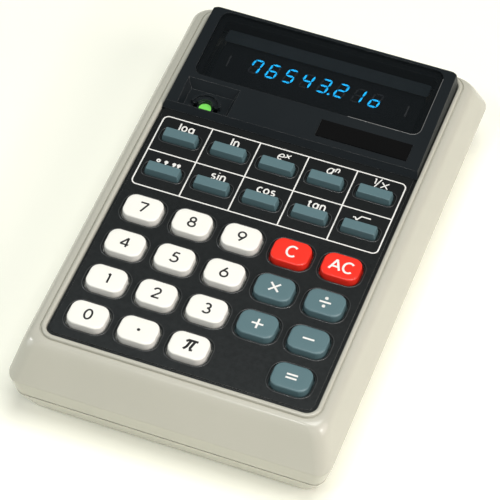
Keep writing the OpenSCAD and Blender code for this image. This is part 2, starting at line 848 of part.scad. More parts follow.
module adaptor_jack() {
    color([0.1, 0.1, 0.11]) difference() {
        union() {
            box(jack_body_x, jack_x + jack_l + 2, jack_y - 5, jack_y + 5, main_board_top + seat,
                key_board_z - 0.2);
            translate([jack_x, jack_y, jack_z]) rotate([0, 90, 0]) cylinder(r = jack_nose,
                h = jack_body_x - jack_x + 1);
        }
        translate([jack_x - 1, jack_y, jack_z]) rotate([0, 90, 0]) cylinder(r = jack_r, h = jack_l + 1);
    }
}

function cell_x(i) = (i - 1.5) * cell_pitch;
cell_y0 = bay_front + contact_l;

module cells() {
    color([0.75, 0.75, 0.77])
        for (i = [0 : 3]) {
            translate([cell_x(i), cell_y0 + (i % 2) * cell_l,
                cell_z]) rotate([i % 2 == 0 ? -90 : 90, 0, 0]) {
                cylinder(r = cell_r, h = cell_l - 1.2);
                cylinder(r = 2.6, h = cell_l);
            }
        }
}

module cell_springs() {
    color([0.8, 0.8, 0.82])
        for (i = [0 : 3]) {
            translate([cell_x(i), i % 2 == 0 ? bay_front + 0.6 : bay_back - 0.6,
                cell_z]) rotate([i % 2 == 0 ? -90 : 90, 0, 0]) {
                cylinder(r = 2.2, h = contact_l - 0.62);
                for (k = [0 : 2]) {
                    translate([0, 0, k * 0.9]) cylinder(r = 3.4 - k * 0.4, h = 0.5);
                }
            }
        }
}

module cell_plates() {
    color([0.82, 0.82, 0.84])
        for (i = [0 : 3]) {
            box(cell_x(i) - 5, cell_x(i) + 5, bay_front + seat,
                bay_front + (i % 2 == 0 ? 0.58 : contact_l - seat), cell_z - 5, cell_z + 5);
            box(cell_x(i) - 5, cell_x(i) + 5, bay_back - (i % 2 == 0 ? contact_l - seat : 0.58),
                bay_back - seat, cell_z - 5, cell_z + 5);
        }
}

door_y0 = bay_front + 0.3;
door_y1 = y_back - base_back - 0.2;
door_hw = bay_hw - 1.5 - 0.2;

module battery_door() {
    color([0.79, 0.78, 0.71]) difference() {
        union() {
            box(-door_hw, door_hw, door_y0, door_y1, base_z, door_top);
            box(-bay_hw + 0.45, bay_hw - 0.45, door_y0, door_y1, base_z + 1.05, door_top);
        }
        for (i = [0 : 4]) {
            box(-10, 10, door_y1 - 6 - i * 1.8, door_y1 - 5.1 - i * 1.8, base_z - 1, base_z + 0.5);
        }
    }
}

module screw(length) {
    cylinder(r = screw_r, h = length);
    difference() {
        translate([0, 0, -1.6]) cylinder(r = head_r, h = 1.6);
        box(-1.5, 1.5, -0.3, 0.3, -2, -0.8);
        box(-0.3, 0.3, -1.5, 1.5, -2, -0.8);
    }
}

module case_screws() {
    color([0.7, 0.7, 0.7]) boss_spots() translate([0, 0, head_z - seat]) screw(boss_top - head_z - 1.2);
}

module key_board_screws() {
    color([0.7, 0.7, 0.7])
        for (p = screw_pts) {
            translate([p[0], p[1], key_board_z - seat]) screw(panel_under - key_board_z - 0.2);
        }
}

module main_board_screws() {
    color([0.7, 0.7, 0.7])
        for (p = main_pts) {
            translate([p[0], p[1], main_board_top + seat]) rotate([180, 0,
                0]) screw(main_board_top - floor_z - 0.6);
        }
}

module rubber_feet() {
    color([0.1, 0.1, 0.1])
        for (p = foot_pts) {
            translate([p[0], p[1], 0]) cylinder(r = foot_r, h = base_z + 0.58);
        }
}

// Cap of a main key: plan outline cut by a rounded front and side profile
module main_key(c, r, tint) {
    x = col_x(c);
    y = row_y(r);
    color(tint) translate([x, y, 0]) union() {
        intersection() {
            slab(key_w / 2, -key_d / 2, key_d / 2, key_r, cap_z + 0.1, key_top + 1);
            translate([0, key_d, 0]) rotate([90, 0, 0]) linear_extrude(2 * key_d) crown(key_w / 2);
            translate([-key_w, 0, 0]) rotate([90, 0, 90]) linear_extrude(2 * key_w) crown(key_d / 2);
        }
        key_foot(key_w, key_d, key_r);
    }
}

module crown(h) {
    polygon([[-h, cap_z], [h, cap_z], [h, panel_z], [h - 0.1, key_top - 0.5], [h - 0.2, key_top - 0.22],
        [h - 0.36, key_top - 0.06], [h - 0.58, key_top], [-h + 0.58, key_top], [-h + 0.36, key_top - 0.06],
        [-h + 0.2, key_top - 0.22], [-h + 0.1, key_top - 0.5], [-h, panel_z]]);
}

// Retaining rim and stem under a key
module key_foot(w, d, r) {
    slab(w / 2 + key_gap + ear, -d / 2 - key_gap - ear, d / 2 + key_gap + ear, r + 0.5, cap_z,
        cap_z + cap_t);
    translate([0, 0, stem_z]) cylinder(r = stem_r, h = cap_z - stem_z + 0.2);
}

// Function key: a low bar with an upright front and small edge breaks
module func_key(c, y, tint) {
    h = func_d / 2;
    w = func_w / 2;
    color(tint) translate([col_x(c), y, 0]) union() {
        intersection() {
            slab(w, -h, h, func_r, cap_z + 0.1, func_top + 1);
            translate([-func_w, 0, 0]) rotate([90, 0, 90]) linear_extrude(2 * func_w)
                polygon([[-h, cap_z], [h, cap_z], [h, func_top - 0.25], [h - 0.25, func_top],
                    [-h + 0.3, func_top],
                    [-h + 0.05, func_top - 0.3], [-h, panel_z]]);
            translate([0, 2 * func_d, 0]) rotate([90, 0, 0]) linear_extrude(4 * func_d)
                polygon([[-w, cap_z], [w, cap_z], [w, panel_z + 0.6], [w - 0.35, func_top - 0.2],
                    [w - 0.6, func_top],
                    [-w + 0.6, func_top], [-w + 0.35, func_top - 0.2], [-w, panel_z + 0.6]]);
        }
        key_foot(func_w, func_d, func_r);
    }
}

white = [0.98, 0.98, 0.94];
red = [0.9, 0.22, 0.17];
slate = [0.36, 0.45, 0.49];

module key_7() { main_key(0, 3, white); }
module key_8() { main_key(1, 3, white); }
module key_9() { main_key(2, 3, white); }
module key_clear() { main_key(3, 3, red); }
module key_all_clear() { main_key(4, 3, red); }
module key_4() { main_key(0, 2, white); }
module key_5() { main_key(1, 2, white); }
module key_6() { main_key(2, 2, white); }
module key_multiply() { main_key(3, 2, slate); }
module key_divide() { main_key(4, 2, slate); }
module key_1() { main_key(0, 1, white); }
module key_2() { main_key(1, 1, white); }
module key_3() { main_key(2, 1, white); }
module key_plus() { main_key(3, 1, slate); }
module key_minus() { main_key(4, 1, slate); }
module key_0() { main_key(0, 0, white); }
module key_point() { main_key(1, 0, white); }
module key_pi() { main_key(2, 0, white); }
module key_equals() { main_key(4, 0, slate); }
module key_log() { func_key(0, func_y1, slate); }
module key_ln() { func_key(1, func_y1, slate); }
module key_exp() { func_key(2, func_y1, slate); }
module key_power() { func_key(3, func_y1, slate); }
module key_reciprocal() { func_key(4, func_y1, slate); }
module key_degrees() { func_key(0, func_y0, slate); }
module key_sin() { func_key(1, func_y0, slate); }
module key_cos() { func_key(2, func_y0, slate); }
module key_tan() { func_key(3, func_y0, slate); }
module key_root() { func_key(4, func_y0, slate); }

upper_case();
lower_case();
keyboard_panel();
display_hood();
display_window();
name_plate();
display_tube();
tube_segments();
tube_leads();
tube_cradle();
display_board();
display_ribbon();
key_mat();
key_board();
main_board();
board_pins();
logic_chip();
converter_coil();
capacitors();
switch_body();
switch_knob();
on_mark();
adaptor_jack();
cells();
cell_springs();
cell_plates();
battery_door();
case_screws();
key_board_screws();
main_board_screws();
rubber_feet();
key_7();
key_8();
key_9();
key_clear();
key_all_clear();
key_4();
key_5();
key_6();
key_multiply();
key_divide();
key_1();
key_2();
key_3();
key_plus();
key_minus();
key_0();
key_point();
key_pi();
key_equals();
key_log();
key_ln();
key_exp();
key_power();
key_reciprocal();
key_degrees();
key_sin();
key_cos();
key_tan();
key_root();
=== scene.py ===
# %% [markdown]
# A pocket scientific calculator from the years of tube displays, dressed for a studio picture.
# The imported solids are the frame: they carry the sizes and the joints.
# This script adds what the eye reads, such as soft mould edges, printed legends and the lit digits.

import math

import bpy
import bmesh
import numpy as np
from mathutils import Matrix, Vector


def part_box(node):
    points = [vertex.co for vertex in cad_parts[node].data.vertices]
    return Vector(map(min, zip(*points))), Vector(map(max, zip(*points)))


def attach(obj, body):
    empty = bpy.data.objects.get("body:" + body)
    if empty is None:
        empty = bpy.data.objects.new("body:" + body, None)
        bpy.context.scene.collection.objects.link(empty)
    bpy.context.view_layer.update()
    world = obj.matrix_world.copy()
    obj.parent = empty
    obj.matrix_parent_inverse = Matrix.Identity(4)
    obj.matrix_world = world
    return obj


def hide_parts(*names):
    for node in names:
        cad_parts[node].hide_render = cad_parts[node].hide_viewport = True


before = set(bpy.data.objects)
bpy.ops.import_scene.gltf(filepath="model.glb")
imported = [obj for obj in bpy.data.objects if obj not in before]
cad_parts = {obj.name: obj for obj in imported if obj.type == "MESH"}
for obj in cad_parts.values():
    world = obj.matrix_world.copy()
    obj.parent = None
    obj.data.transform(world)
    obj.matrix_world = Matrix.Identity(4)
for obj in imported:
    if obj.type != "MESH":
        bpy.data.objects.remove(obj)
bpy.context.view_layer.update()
MM = 0.001

# %% [markdown]
# The camera comes first, because every later choice is judged through it.
# Its place was worked out from the printed frame on the keyboard and the outline of the case.
# A long lens from about seventy centimetres gives the nearly parallel edges of a catalogue picture.

# %% Camera
CAMERA_AT = (150.09, -429.88, 573.03)
AZIMUTH, ELEVATION, ROLL = (math.radians(a) for a in (19.47, 51.14, 1.19))
LENS, SENSOR_W = 198.5, 36.0


def camera_axes(azimuth, elevation, roll):
    """Right, up and back directions of a camera turned to an azimuth and elevation and then rolled."""
    flat = math.cos(elevation)
    back = np.array([math.sin(azimuth) * flat, -math.cos(azimuth) * flat, math.sin(elevation)])
    right = np.array([math.cos(azimuth), math.sin(azimuth), 0.0])
    up = np.cross(back, right)
    turned_right = math.cos(roll) * right + math.sin(roll) * up
    turned_up = -math.sin(roll) * right + math.cos(roll) * up
    return turned_right, turned_up, back


lens = bpy.data.cameras.new("picture_camera")
lens.lens, lens.sensor_width, lens.sensor_fit = LENS, SENSOR_W, "AUTO"
camera = bpy.data.objects.new("picture_camera", lens)
bpy.context.scene.collection.objects.link(camera)
right, up, back = camera_axes(AZIMUTH, ELEVATION, ROLL)
placed = Matrix.Identity(4)
for row in range(3):
    placed[row][0], placed[row][1], placed[row][2] = right[row], up[row], back[row]
    placed[row][3] = CAMERA_AT[row] * MM
camera.matrix_world = placed
bpy.context.scene.camera = camera
bpy.context.scene.view_settings.view_transform = "Standard"
print("camera", [round(c) for c in CAMERA_AT], "mm, lens", LENS)

# %% [markdown]
# Finishes are written as node trees. Clicking nodes together is fine for one material, but a page of
# them is easier to read as arithmetic, so one small class wraps a socket and turns + - * into Math nodes.
# A second class is the material itself, with a single method that adds any other kind of node.


# %% Shader arithmetic
class Value:
    """One output socket, with arithmetic."""

    def __init__(self, finish, socket):
        self.finish, self.socket = finish, socket

    def _math(self, operation, first, second):
        return self.finish.node("ShaderNodeMath", {"operation": operation}, {0: first, 1: second})

    def __add__(self, other):
        return self._math("ADD", self, other)

    def __radd__(self, other):
        return self._math("ADD", other, self)

    def __sub__(self, other):
        return self._math("SUBTRACT", self, other)

    def __rsub__(self, other):
        return self._math("SUBTRACT", other, self)

    def __mul__(self, other):
        return self._math("MULTIPLY", self, other)

    def __rmul__(self, other):
        return self._math("MULTIPLY", other, self)


class Finish:
    """A material whose nodes are added one by one."""

    def __init__(self, name):
        self.material = bpy.data.materials.new(name)
        self.material.use_nodes = True
        self.tree = self.material.node_tree
        self.tree.nodes.clear()
        self.output = self.tree.nodes.new("ShaderNodeOutputMaterial")

    def node(self, kind, settings=None, values=None, out=0):
        made = self.tree.nodes.new(kind)
        for key, value in (settings or {}).items():
            setattr(made, key, value)
        for key, value in (values or {}).items():
            if isinstance(value, Value):
                self.tree.links.new(value.socket, made.inputs[key])
            else:
                made.inputs[key].default_value = value
        return Value(self, made.outputs[out])

    def coordinates(self):
        return self.node("ShaderNodeTexCoord", out=3)

    def noise(self, scale, detail=2.0, roughness=0.5):
        values = {"Vector": self.coordinates(), "Scale": scale, "Detail": detail, "Roughness": roughness}
        return self.node("ShaderNodeTexNoise", {}, values)

    def between(self, share, low, high):
        """A colour between two colours."""
        values = {0: share, 6: (*low, 1), 7: (*high, 1)}
        return self.node("ShaderNodeMix", {"data_type": "RGBA"}, values, out=2)

    def bump(self, height, strength, distance):
        values = {"Height": height, "Strength": strength, "Distance": distance}
        return self.node("ShaderNodeBump", {}, values)

    def surface(self, **values):
        """Principled shader on the output; sockets are named with _ for spaces."""
        named = {key.replace("_", " "): value for key, value in values.items()}
        shader = self.node("ShaderNodeBsdfPrincipled", {}, named)
        self.tree.links.new(shader.socket, self.output.inputs["Surface"])
        return self.material


print("shader arithmetic ready")

# %% [markdown]
# The case is an old cream moulding. Spark-eroded moulds leave a very fine grain, so a fine noise drives
# a faint bump. Years of handling make the plastic slightly uneven in tone, which a slow noise gives.
# The other plastics, rubbers and paints of the object are the same finish with tones of their own.

# %% Case plastic
DRIFT_SCALE, DRIFT_GLOSS, GRAIN_DEPTH = 38.0, 0.12, 0.0002


def moulded(name, low, high, rough, grain=0.03, grain_scale=2600.0, gloss=0.5):
    """Moulded plastic: tone and gloss that drift slowly, and a fine grain in the bump."""
    finish = Finish(name)
    drift = finish.noise(DRIFT_SCALE, 3.0)
    grains = finish.noise(grain_scale, 2.0, 0.6)
    return finish.surface(
        Base_Color=finish.between(drift, low, high),
        Roughness=rough + (drift - 0.5) * DRIFT_GLOSS,
        Normal=finish.bump(grains, grain, GRAIN_DEPTH),
        Specular_IOR_Level=gloss,
    )


case_plastic = moulded("case_cream_plastic", (0.475, 0.472, 0.4), (0.53, 0.522, 0.447), 0.22)
key_white = moulded("key_white_plastic", (0.86, 0.86, 0.79), (0.91, 0.91, 0.845), 0.3, 0.012, 1800.0)
key_red = moulded("key_red_plastic", (0.86, 0.027, 0.014), (0.92, 0.038, 0.02), 0.3, 0.012, 1800.0)
key_slate = moulded("key_slate_plastic", (0.094, 0.168, 0.184), (0.107, 0.186, 0.203), 0.34, 0.015, 1800.0)
hood_plastic = moulded(
    "hood_black_plastic", (0.007, 0.01, 0.012), (0.01, 0.0135, 0.0155), 0.34, 0.04, 2200.0, 0.3
)
# The two edge tones below are lighter than the black plastic: wear in part, and in part a painted highlight
# for the thin bright lines on rounded edges.
edge_wear_and_highlight = moulded("worn_black_edge", (0.03, 0.034, 0.034), (0.3, 0.3, 0.29), 0.25, 0.05, 900.0, 0.6)
hood_wear_and_highlight = moulded("worn_hood_edge", (0.07, 0.075, 0.075), (0.27, 0.27, 0.26), 0.25, 0.05, 900.0, 0.6)
# The collar tone is lighter than the panel: wear in part, a painted highlight in part.
collar_wear_and_highlight = moulded(
    "collar_worn_plastic", (0.012, 0.014, 0.0145), (0.075, 0.08, 0.08), 0.2, 0.05, 900.0, 0.6
)
plate_plastic = moulded(
    "plate_black_plastic", (0.002, 0.002, 0.002), (0.004, 0.004, 0.004), 0.14, 0.01, 900.0, 0.3
)
dark_rubber = moulded("foot_rubber", (0.016, 0.016, 0.016), (0.026, 0.026, 0.025), 0.75, 0.2, 1500.0, 0.3)
grey_rubber = moulded("mat_rubber", (0.25, 0.25, 0.25), (0.3, 0.3, 0.29), 0.7, 0.1, 1500.0, 0.3)
chip_plastic = moulded("chip_plastic", (0.012, 0.012, 0.013), (0.02, 0.02, 0.021), 0.5, 0.1, 2000.0)
ribbon_plastic = moulded("ribbon_plastic", (0.55, 0.55, 0.5), (0.62, 0.62, 0.57), 0.5, 0.05, 800.0)
sleeve_plastic = moulded("sleeve_plastic", (0.02, 0.04, 0.16), (0.03, 0.055, 0.2), 0.35, 0.02, 800.0)
board_resin = moulded("board_resin", (0.16, 0.095, 0.022), (0.22, 0.13, 0.035), 0.5, 0.08, 700.0)
coil_lacquer = moulded("coil_lacquer", (0.28, 0.09, 0.025), (0.36, 0.13, 0.04), 0.35, 0.1, 900.0)
green_paint = moulded("mark_green_paint", (0.16, 0.72, 0.09), (0.24, 0.8, 0.13), 0.4, 0.05, 1500.0)
print("moulded finishes made")

# %% [markdown]
# The keyboard panel is a black gloss plate that has gathered fine dust, most of it near the hand.
# The dust is a lighter tone that grows towards the front and is broken up by a fine noise.

# %% Dusty panel
DUST_FROM, DUST_TO = 0.03, -0.06
CLEAN_TONE, DUSTY_TONE = (0.006, 0.0072, 0.0073), (0.022, 0.025, 0.0253)
dusty = Finish("panel_black_plastic")
depth = dusty.node("ShaderNodeSeparateXYZ", {}, {0: dusty.coordinates()}, out=1)
dust_range = {"Value": depth, "From Min": DUST_FROM, "From Max": DUST_TO}
nearness = dusty.node("ShaderNodeMapRange", {}, dust_range)
specks = dusty.noise(700.0, 4.0, 0.75)
panel_plastic = dusty.surface(
    Base_Color=dusty.between(nearness * (0.35 + 1.3 * specks), CLEAN_TONE, DUSTY_TONE),
    Roughness=0.18 + specks * 0.08,
    Normal=dusty.bump(specks, 0.02, GRAIN_DEPTH),
    Specular_IOR_Level=0.42,
)
print("panel finish made")

# %% [markdown]
# Screws, springs and leads are plated steel, and the cells have a metal jacket.
# Metal reads by its reflections, so the tone stays nearly even and the roughness is broken up more.


# %% Metal
def plated(name, low, high, rough):
    """Plated metal with streaks in its tone and gloss."""
    finish = Finish(name)
    streak = finish.noise(420.0, 4.0, 0.65)
    return finish.surface(
        Base_Color=finish.between(streak, low, high),
        Metallic=1.0,
        Roughness=rough + (streak - 0.5) * 0.2,
    )


steel = plated("plated_steel", (0.5, 0.5, 0.49), (0.62, 0.62, 0.6), 0.32)
jacket = plated("cell_jacket", (0.4, 0.4, 0.42), (0.55, 0.55, 0.56), 0.4)
print("metals made")

# %% [markdown]
# The window is smoked acrylic. Real refraction would cost many samples for a flat sheet that hardly bends
# the view, so the sheet is a dark gloss surface with part of its alpha taken away.
# Faint smears vary its tone and its roughness.


# %% Window and tube glass
def clear_sheet(name, tint, alpha, rough, gloss=0.5):
    """Dark gloss sheet that lets part of the view through."""
    finish = Finish(name)
    smear = finish.noise(55.0, 4.0, 0.6)
    finish.material.blend_method = "BLEND"
    return finish.surface(
        Base_Color=finish.between(smear, tint, tuple(1.25 * c for c in tint)),
        Roughness=rough + smear * 0.05,
        Alpha=alpha,
        Specular_IOR_Level=gloss,
    )


window_acrylic = clear_sheet("window_smoked_acrylic", (0.0065, 0.0085, 0.0095), 0.42, 0.05, 0.3)
tube_glass = clear_sheet("tube_glass", (0.02, 0.03, 0.035), 0.18, 0.04)
print("clear sheets made")

# %% [markdown]
# The lit segments are a phosphor that glows blue. A fine grain in the emission keeps it from looking
# painted. Unlit segments still show as a dull grey-blue, because the phosphor powder is pale by itself.


# %% Phosphor and inks
def glowing(name, low, high, strength):
    """Grainy surface that gives light."""
    finish = Finish(name)
    grain = finish.noise(3200.0, 2.0)
    glow = finish.between(grain, low, high)
    return finish.surface(Base_Color=glow, Emission_Color=glow, Emission_Strength=strength, Roughness=0.6)


phosphor_lit = glowing("phosphor_lit", (0.003, 0.35, 0.9), (0.015, 0.53, 0.96), 4.6)
phosphor_dim = moulded("phosphor_dim", (0.14, 0.15, 0.17), (0.2, 0.21, 0.24), 0.7, 0.1, 3000.0, 0.2)
segment_ceramic = moulded(
    "segment_ceramic", (0.012, 0.016, 0.022), (0.02, 0.025, 0.032), 0.55, 0.1, 2500.0, 0.3
)
# A painted reflection: the grey-blue strip behind the digits in the window.
painted_reflection = moulded("blue_tape", (0.058, 0.083, 0.098), (0.072, 0.1, 0.118), 0.5, 0.05, 2500.0, 0.3)
# The posts' light grey stands in part for glints on them: a painted highlight.
post_paint_and_highlight = moulded("post_grey", (0.16, 0.17, 0.18), (0.3, 0.31, 0.32), 0.5, 0.05, 2500.0)
white_ink = moulded("white_ink", (0.78, 0.78, 0.74), (0.9, 0.9, 0.86), 0.5, 0.05, 3000.0)
black_ink = moulded("black_ink", (0.004, 0.004, 0.004), (0.009, 0.009, 0.009), 0.45, 0.05, 3000.0)
print("phosphor and inks made")

# %% [markdown]
# Most of this object is a rounded rectangle that changes size with height: the case, the key caps, the
# key bars. One helper draws such an outline at one height, and another skins a list of them.
# Skinning rings by hand gives even corners, which a Bevel on a block would pinch where three edges meet.


# %% Ring and skin helpers
def ring(half_w, y0, y1, z, corner, steps):
    """Rounded rectangle, anticlockwise from above, in millimetres."""
    points = []
    for cx, cy, start in (
        (half_w - corner, y0 + corner, -90),
        (half_w - corner, y1 - corner, 0),
        (-half_w + corner, y1 - corner, 90),
        (-half_w + corner, y0 + corner, 180),
    ):
        for angle in np.radians(start + 90 * np.arange(steps + 1) / steps):
            points.append((cx + corner * math.cos(angle), cy + corner * math.sin(angle), z))
    return np.array(points)


def mesh_piece(name, points, faces, material, sharp=40.0):
    """Object from points in millimetres, smooth apart from edges sharper than an angle."""
    mesh = bpy.data.meshes.new(name)
    mesh.from_pydata([tuple(p * MM) for p in np.asarray(points, float)], [], faces)
    mesh.validate()
    mesh.shade_smooth()
    mesh.set_sharp_from_angle(angle=math.radians(sharp))
    mesh.materials.append(material)
    piece = bpy.data.objects.new(name, mesh)
    bpy.context.scene.collection.objects.link(piece)
    return piece


def skin(rings, closed):
    """Points and faces of a skin over rings, closed into a loop or capped at both ends."""
    count, size = len(rings), len(rings[0])
    faces = []
    for j in range(count if closed else count - 1):
        low, high = j * size, ((j + 1) % count) * size
        for i in range(size):
            k = (i + 1) % size
            faces.append((low + i, low + k, high + k, high + i))
    if not closed:
        faces.append(tuple(reversed(range(size))))
        faces.append(tuple((count - 1) * size + i for i in range(size)))
    return np.concatenate(rings), faces


print("ring helpers ready")

# %% [markdown]
# The upper shell runs up from the seam, bulges to its widest line, leans in to a soft shoulder and ends in
# a thin lip round the keyboard. Its section is drawn once as a closed loop and carried round the outline.
# The widest line and the shoulder are curves here, where the solid has only a few flats.


# %% Upper case
def corners(node):
    """Lowest and highest corner of a solid, in millimetres."""
    return [np.array(corner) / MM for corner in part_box(node)]


case_low, case_high = corners("upper_case")
SIDE_FLARE, CHIN, HEEL, LIP_W = 5.95, 8.1, 5.2, 1.1
Y_FRONT, Y_BACK, LIP_HALF_W = case_low[1], case_high[1], case_high[0] - SIDE_FLARE
LIP_FRONT, LIP_BACK = Y_FRONT + CHIN, Y_BACK - HEEL
CASE_STEPS, SHELL_SHARP = 16, 50.0


def shoulder(side, front, back, z, corner):
    """Section point from the lip (0) to the widest line (1), separately for sides, front and back."""
    y_front, y_back = Y_FRONT + CHIN * (1 - front), Y_BACK - HEEL * (1 - back)
    return (LIP_HALF_W + side * SIDE_FLARE, y_front, y_back, z, corner)


def curve_between(first, control, last, count):
    """Points of a soft bend from first to last."""
    bend = []
    for t in np.linspace(0, 1, count):
        weights = ((1 - t) ** 2, 2 * t * (1 - t), t * t)
        rows = zip(first, control, last)
        bend.append(tuple(sum(w * p for w, p in zip(weights, row)) for row in rows))
    return bend


def partway(a, b, t):
    """Section point at a share of the way from one to another."""
    return tuple(p + (q - p) * t for p, q in zip(a, b))


def lip(inset, z, corner):
    """Section point on the raised lip, so far in from its outer wall."""
    return (LIP_HALF_W - inset, LIP_FRONT + inset, LIP_BACK - inset, z, corner)


def inside(side, front, back):
    """Half width, front and back of an outline that lies so far inside the widest line."""
    return (case_high[0] - side, Y_FRONT + front, Y_BACK - back)


SEAM_Z, WIDEST_Z, CAVITY_Z, LIP_TOP = 9.4, 15.0, 23.4, 26.5
SEAM_GROOVE, CAVITY_CORNER = 0.12, 3.0
seam = (*inside(1.5, 0.8, 1.0), SEAM_Z, 3.2)
groove = (*inside(1.5 + SEAM_GROOVE, 0.8 + SEAM_GROOVE, 1.0 + SEAM_GROOVE), SEAM_Z, 3.1)
cavity, cavity_top = inside(3.9, 3.2, 3.9), inside(3.9, 6.6, 4.8)
widest = shoulder(1, 1, 1, WIDEST_Z, 3.8)
shoulder_low = shoulder(0.613, 0.445, 0.308, 23.2, 4.3)
land = shoulder(0.17, 0.15, 0.05, 25.86, 4.5)
shoulder_bend = shoulder(0.5, 0.283, 0.105, 25.6, 4.4)
section = [(*cavity, SEAM_Z, CAVITY_CORNER), groove]
section += [partway(seam, widest, t) for t in (0.05, 0.12, 0.85)]
section += curve_between(partway(seam, widest, 0.92), widest, partway(widest, shoulder_low, 0.055), 6)
section += [partway(widest, shoulder_low, t) for t in (0.11, 0.86)]
section += curve_between(partway(widest, shoulder_low, 0.94), shoulder_bend, land, 12)
section += [
    shoulder(0.075, 0.055, 0.045, 25.92, 4.3),
    shoulder(0.06, 0.044, 0.035, 25.55, 4.2),
    shoulder(0.012, 0.009, 0.01, 25.55, 4.1),
    lip(0.0, 25.9, 4.1),
    lip(0.03, 26.3, 4.07),
    lip(0.2, LIP_TOP - 0.03, 3.9),
    lip(0.5, LIP_TOP, 3.6),
    lip(LIP_W - 0.2, LIP_TOP - 0.04, 3.2),
    lip(LIP_W, LIP_TOP - 0.25, 3.0),
    lip(LIP_W, CAVITY_Z, CAVITY_CORNER),
    (*cavity_top, CAVITY_Z, CAVITY_CORNER),
    (*cavity, WIDEST_Z + 2.2, CAVITY_CORNER),
]
points, faces = skin([ring(*s, CASE_STEPS) for s in section], True)
whole_shell = mesh_piece("whole_shell", points, faces, case_plastic, SHELL_SHARP)
print("upper shell:", len(faces), "faces")

# %% [markdown]
# The nose of the adaptor socket comes out through a round hole in the left wall, which leans in towards the
# seam. A round hole in a leaning wall is easier to cut than to draw: a cylinder is taken away by a Boolean,
# and the result is kept as a plain mesh.


# %% Hole for the adaptor socket
def settled(source, name):
    """Plain mesh object from what an object's modifiers make; the source is removed."""
    depsgraph = bpy.context.evaluated_depsgraph_get()
    mesh = bpy.data.meshes.new_from_object(source.evaluated_get(depsgraph), depsgraph=depsgraph)
    mesh.name = name
    bpy.data.objects.remove(source)
    piece = bpy.data.objects.new(name, mesh)
    bpy.context.scene.collection.objects.link(piece)
    return piece


HOLE_R, HOLE_Z, HOLE_STEP, CUT_PAST = 2.9, WIDEST_Z - 1.2, 7.5, (3, 2)
jack_low, jack_high = corners("adaptor_jack")
hole_y = (jack_low[1] + jack_high[1]) / 2
turns = np.radians(np.arange(0, 360, HOLE_STEP))
hole_rings = [
    np.array([(x, hole_y + HOLE_R * math.cos(a), HOLE_Z + HOLE_R * math.sin(a)) for a in turns])
    for x in (case_low[0] - CUT_PAST[0], CUT_PAST[1] - cavity[0])
]
cutter = mesh_piece("hole_cutter", *skin(hole_rings, False), case_plastic)
hole = whole_shell.modifiers.new("hole", "BOOLEAN")
hole.operation, hole.solver, hole.object = "DIFFERENCE", "EXACT", cutter
upper_shell = settled(whole_shell, "upper_shell")
bpy.data.objects.remove(cutter)
upper_shell.data.set_sharp_from_angle(angle=math.radians(SHELL_SHARP))
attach(upper_shell, "case")
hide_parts("upper_case")
print("hole cut:", len(upper_shell.data.polygons), "faces")

# %% [markdown]
# The lower shell, the hood, the panel, the battery door and the switch already have their form in the
# solids, but every edge there is knife sharp, and a real mould edge carries a thin bright line.
# A copy of each solid is merged, its flat faces are joined up again, and a narrow Bevel rounds the edges.
# On the hood, the panel and the switch those edges take a lighter finish: wear in part, a painted highlight
# in part.
# Smooth shading would let the rounded rims bend the light on the flats, so the normals are weighted by
# face area.

# %% Softened copies
MERGE_WITHIN, FLAT_WITHIN, BEVEL_SHARP = 2e-6, 1.0, 40.0


def softened(node, name, body, material, width, angle=35.0, wear_and_highlight=None):
    """Copy of a CAD node with small rounded edges, in a lighter edge finish of wear and painted highlight
    if one is given, for that node.
    """
    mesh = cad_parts[node].data.copy()
    mesh.name = name
    work = bmesh.new()
    work.from_mesh(mesh)
    bmesh.ops.remove_doubles(work, verts=work.verts, dist=MERGE_WITHIN)
    flat = math.radians(FLAT_WITHIN)
    bmesh.ops.dissolve_limit(work, angle_limit=flat, verts=work.verts, edges=work.edges)
    work.to_mesh(mesh)
    work.free()
    mesh.materials.clear()
    mesh.materials.append(material)
    if wear_and_highlight:
        mesh.materials.append(wear_and_highlight)
    source = bpy.data.objects.new(name + "_source", mesh)
    bpy.context.scene.collection.objects.link(source)
    bevel = source.modifiers.new("soft_edge", "BEVEL")
    bevel.width, bevel.segments, bevel.limit_method = width * MM, 3, "ANGLE"
    bevel.angle_limit, bevel.use_clamp_overlap = math.radians(angle), True
    # The rounded edges take the edge finish if one is given: wear in part, a painted highlight in part.
    bevel.material = 1 if wear_and_highlight else -1
    rounded = settled(source, name + "_rounded")
    rounded.data.shade_smooth()
    rounded.data.set_sharp_from_angle(angle=math.radians(BEVEL_SHARP))
    even = rounded.modifiers.new("even_faces", "WEIGHTED_NORMAL")
    even.keep_sharp = True
    piece = settled(rounded, name)
    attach(piece, body)
    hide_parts(node)
    print(name, len(piece.data.polygons), "faces")


softened("lower_case", "lower_shell", "case", case_plastic, 0.2, 42.0)
softened("battery_door", "battery_cover", "battery_door", case_plastic, 0.15)
softened("display_hood", "display_cowl", "case", hood_plastic, 0.24, wear_and_highlight=hood_wear_and_highlight)
softened("keyboard_panel", "keyboard_face", "case", panel_plastic, 0.1, wear_and_highlight=edge_wear_and_highlight)
softened("switch_knob", "switch_thumb", "switch_knob", hood_plastic, 0.12, wear_and_highlight=edge_wear_and_highlight)

# %% [markdown]
# The main keys are straight-sided caps with well rounded corners and a soft top edge.
# Each cap is one skin from the stem on the rubber dome, over the hidden rim, to the flat top, so that it is
# a whole key when it is seen alone.

# %% Main keys
KEY_STEPS, KEY_DRAFT, KEY_EDGE = 10, 0.1, 0.42
KEY_HALF, KEY_CORNER = (5.1, 3.9), 2.6
FLAT_IN, FLAT_CORNER, CORNER_SHARE = (1.8, 1.7), 1.3, 0.7
STEM_R, STEM_LOW, RIM_OUT, RIM_LOW, RIM_HIGH, RIM_ROUND = 1.8, 21.55, 0.9, 22.7, 23.6, 0.5
PANEL_TOP = corners("keyboard_panel")[1][2]
KEY_TOP, BAR_TOP = corners("key_5")[1][2], corners("key_cos")[1][2]


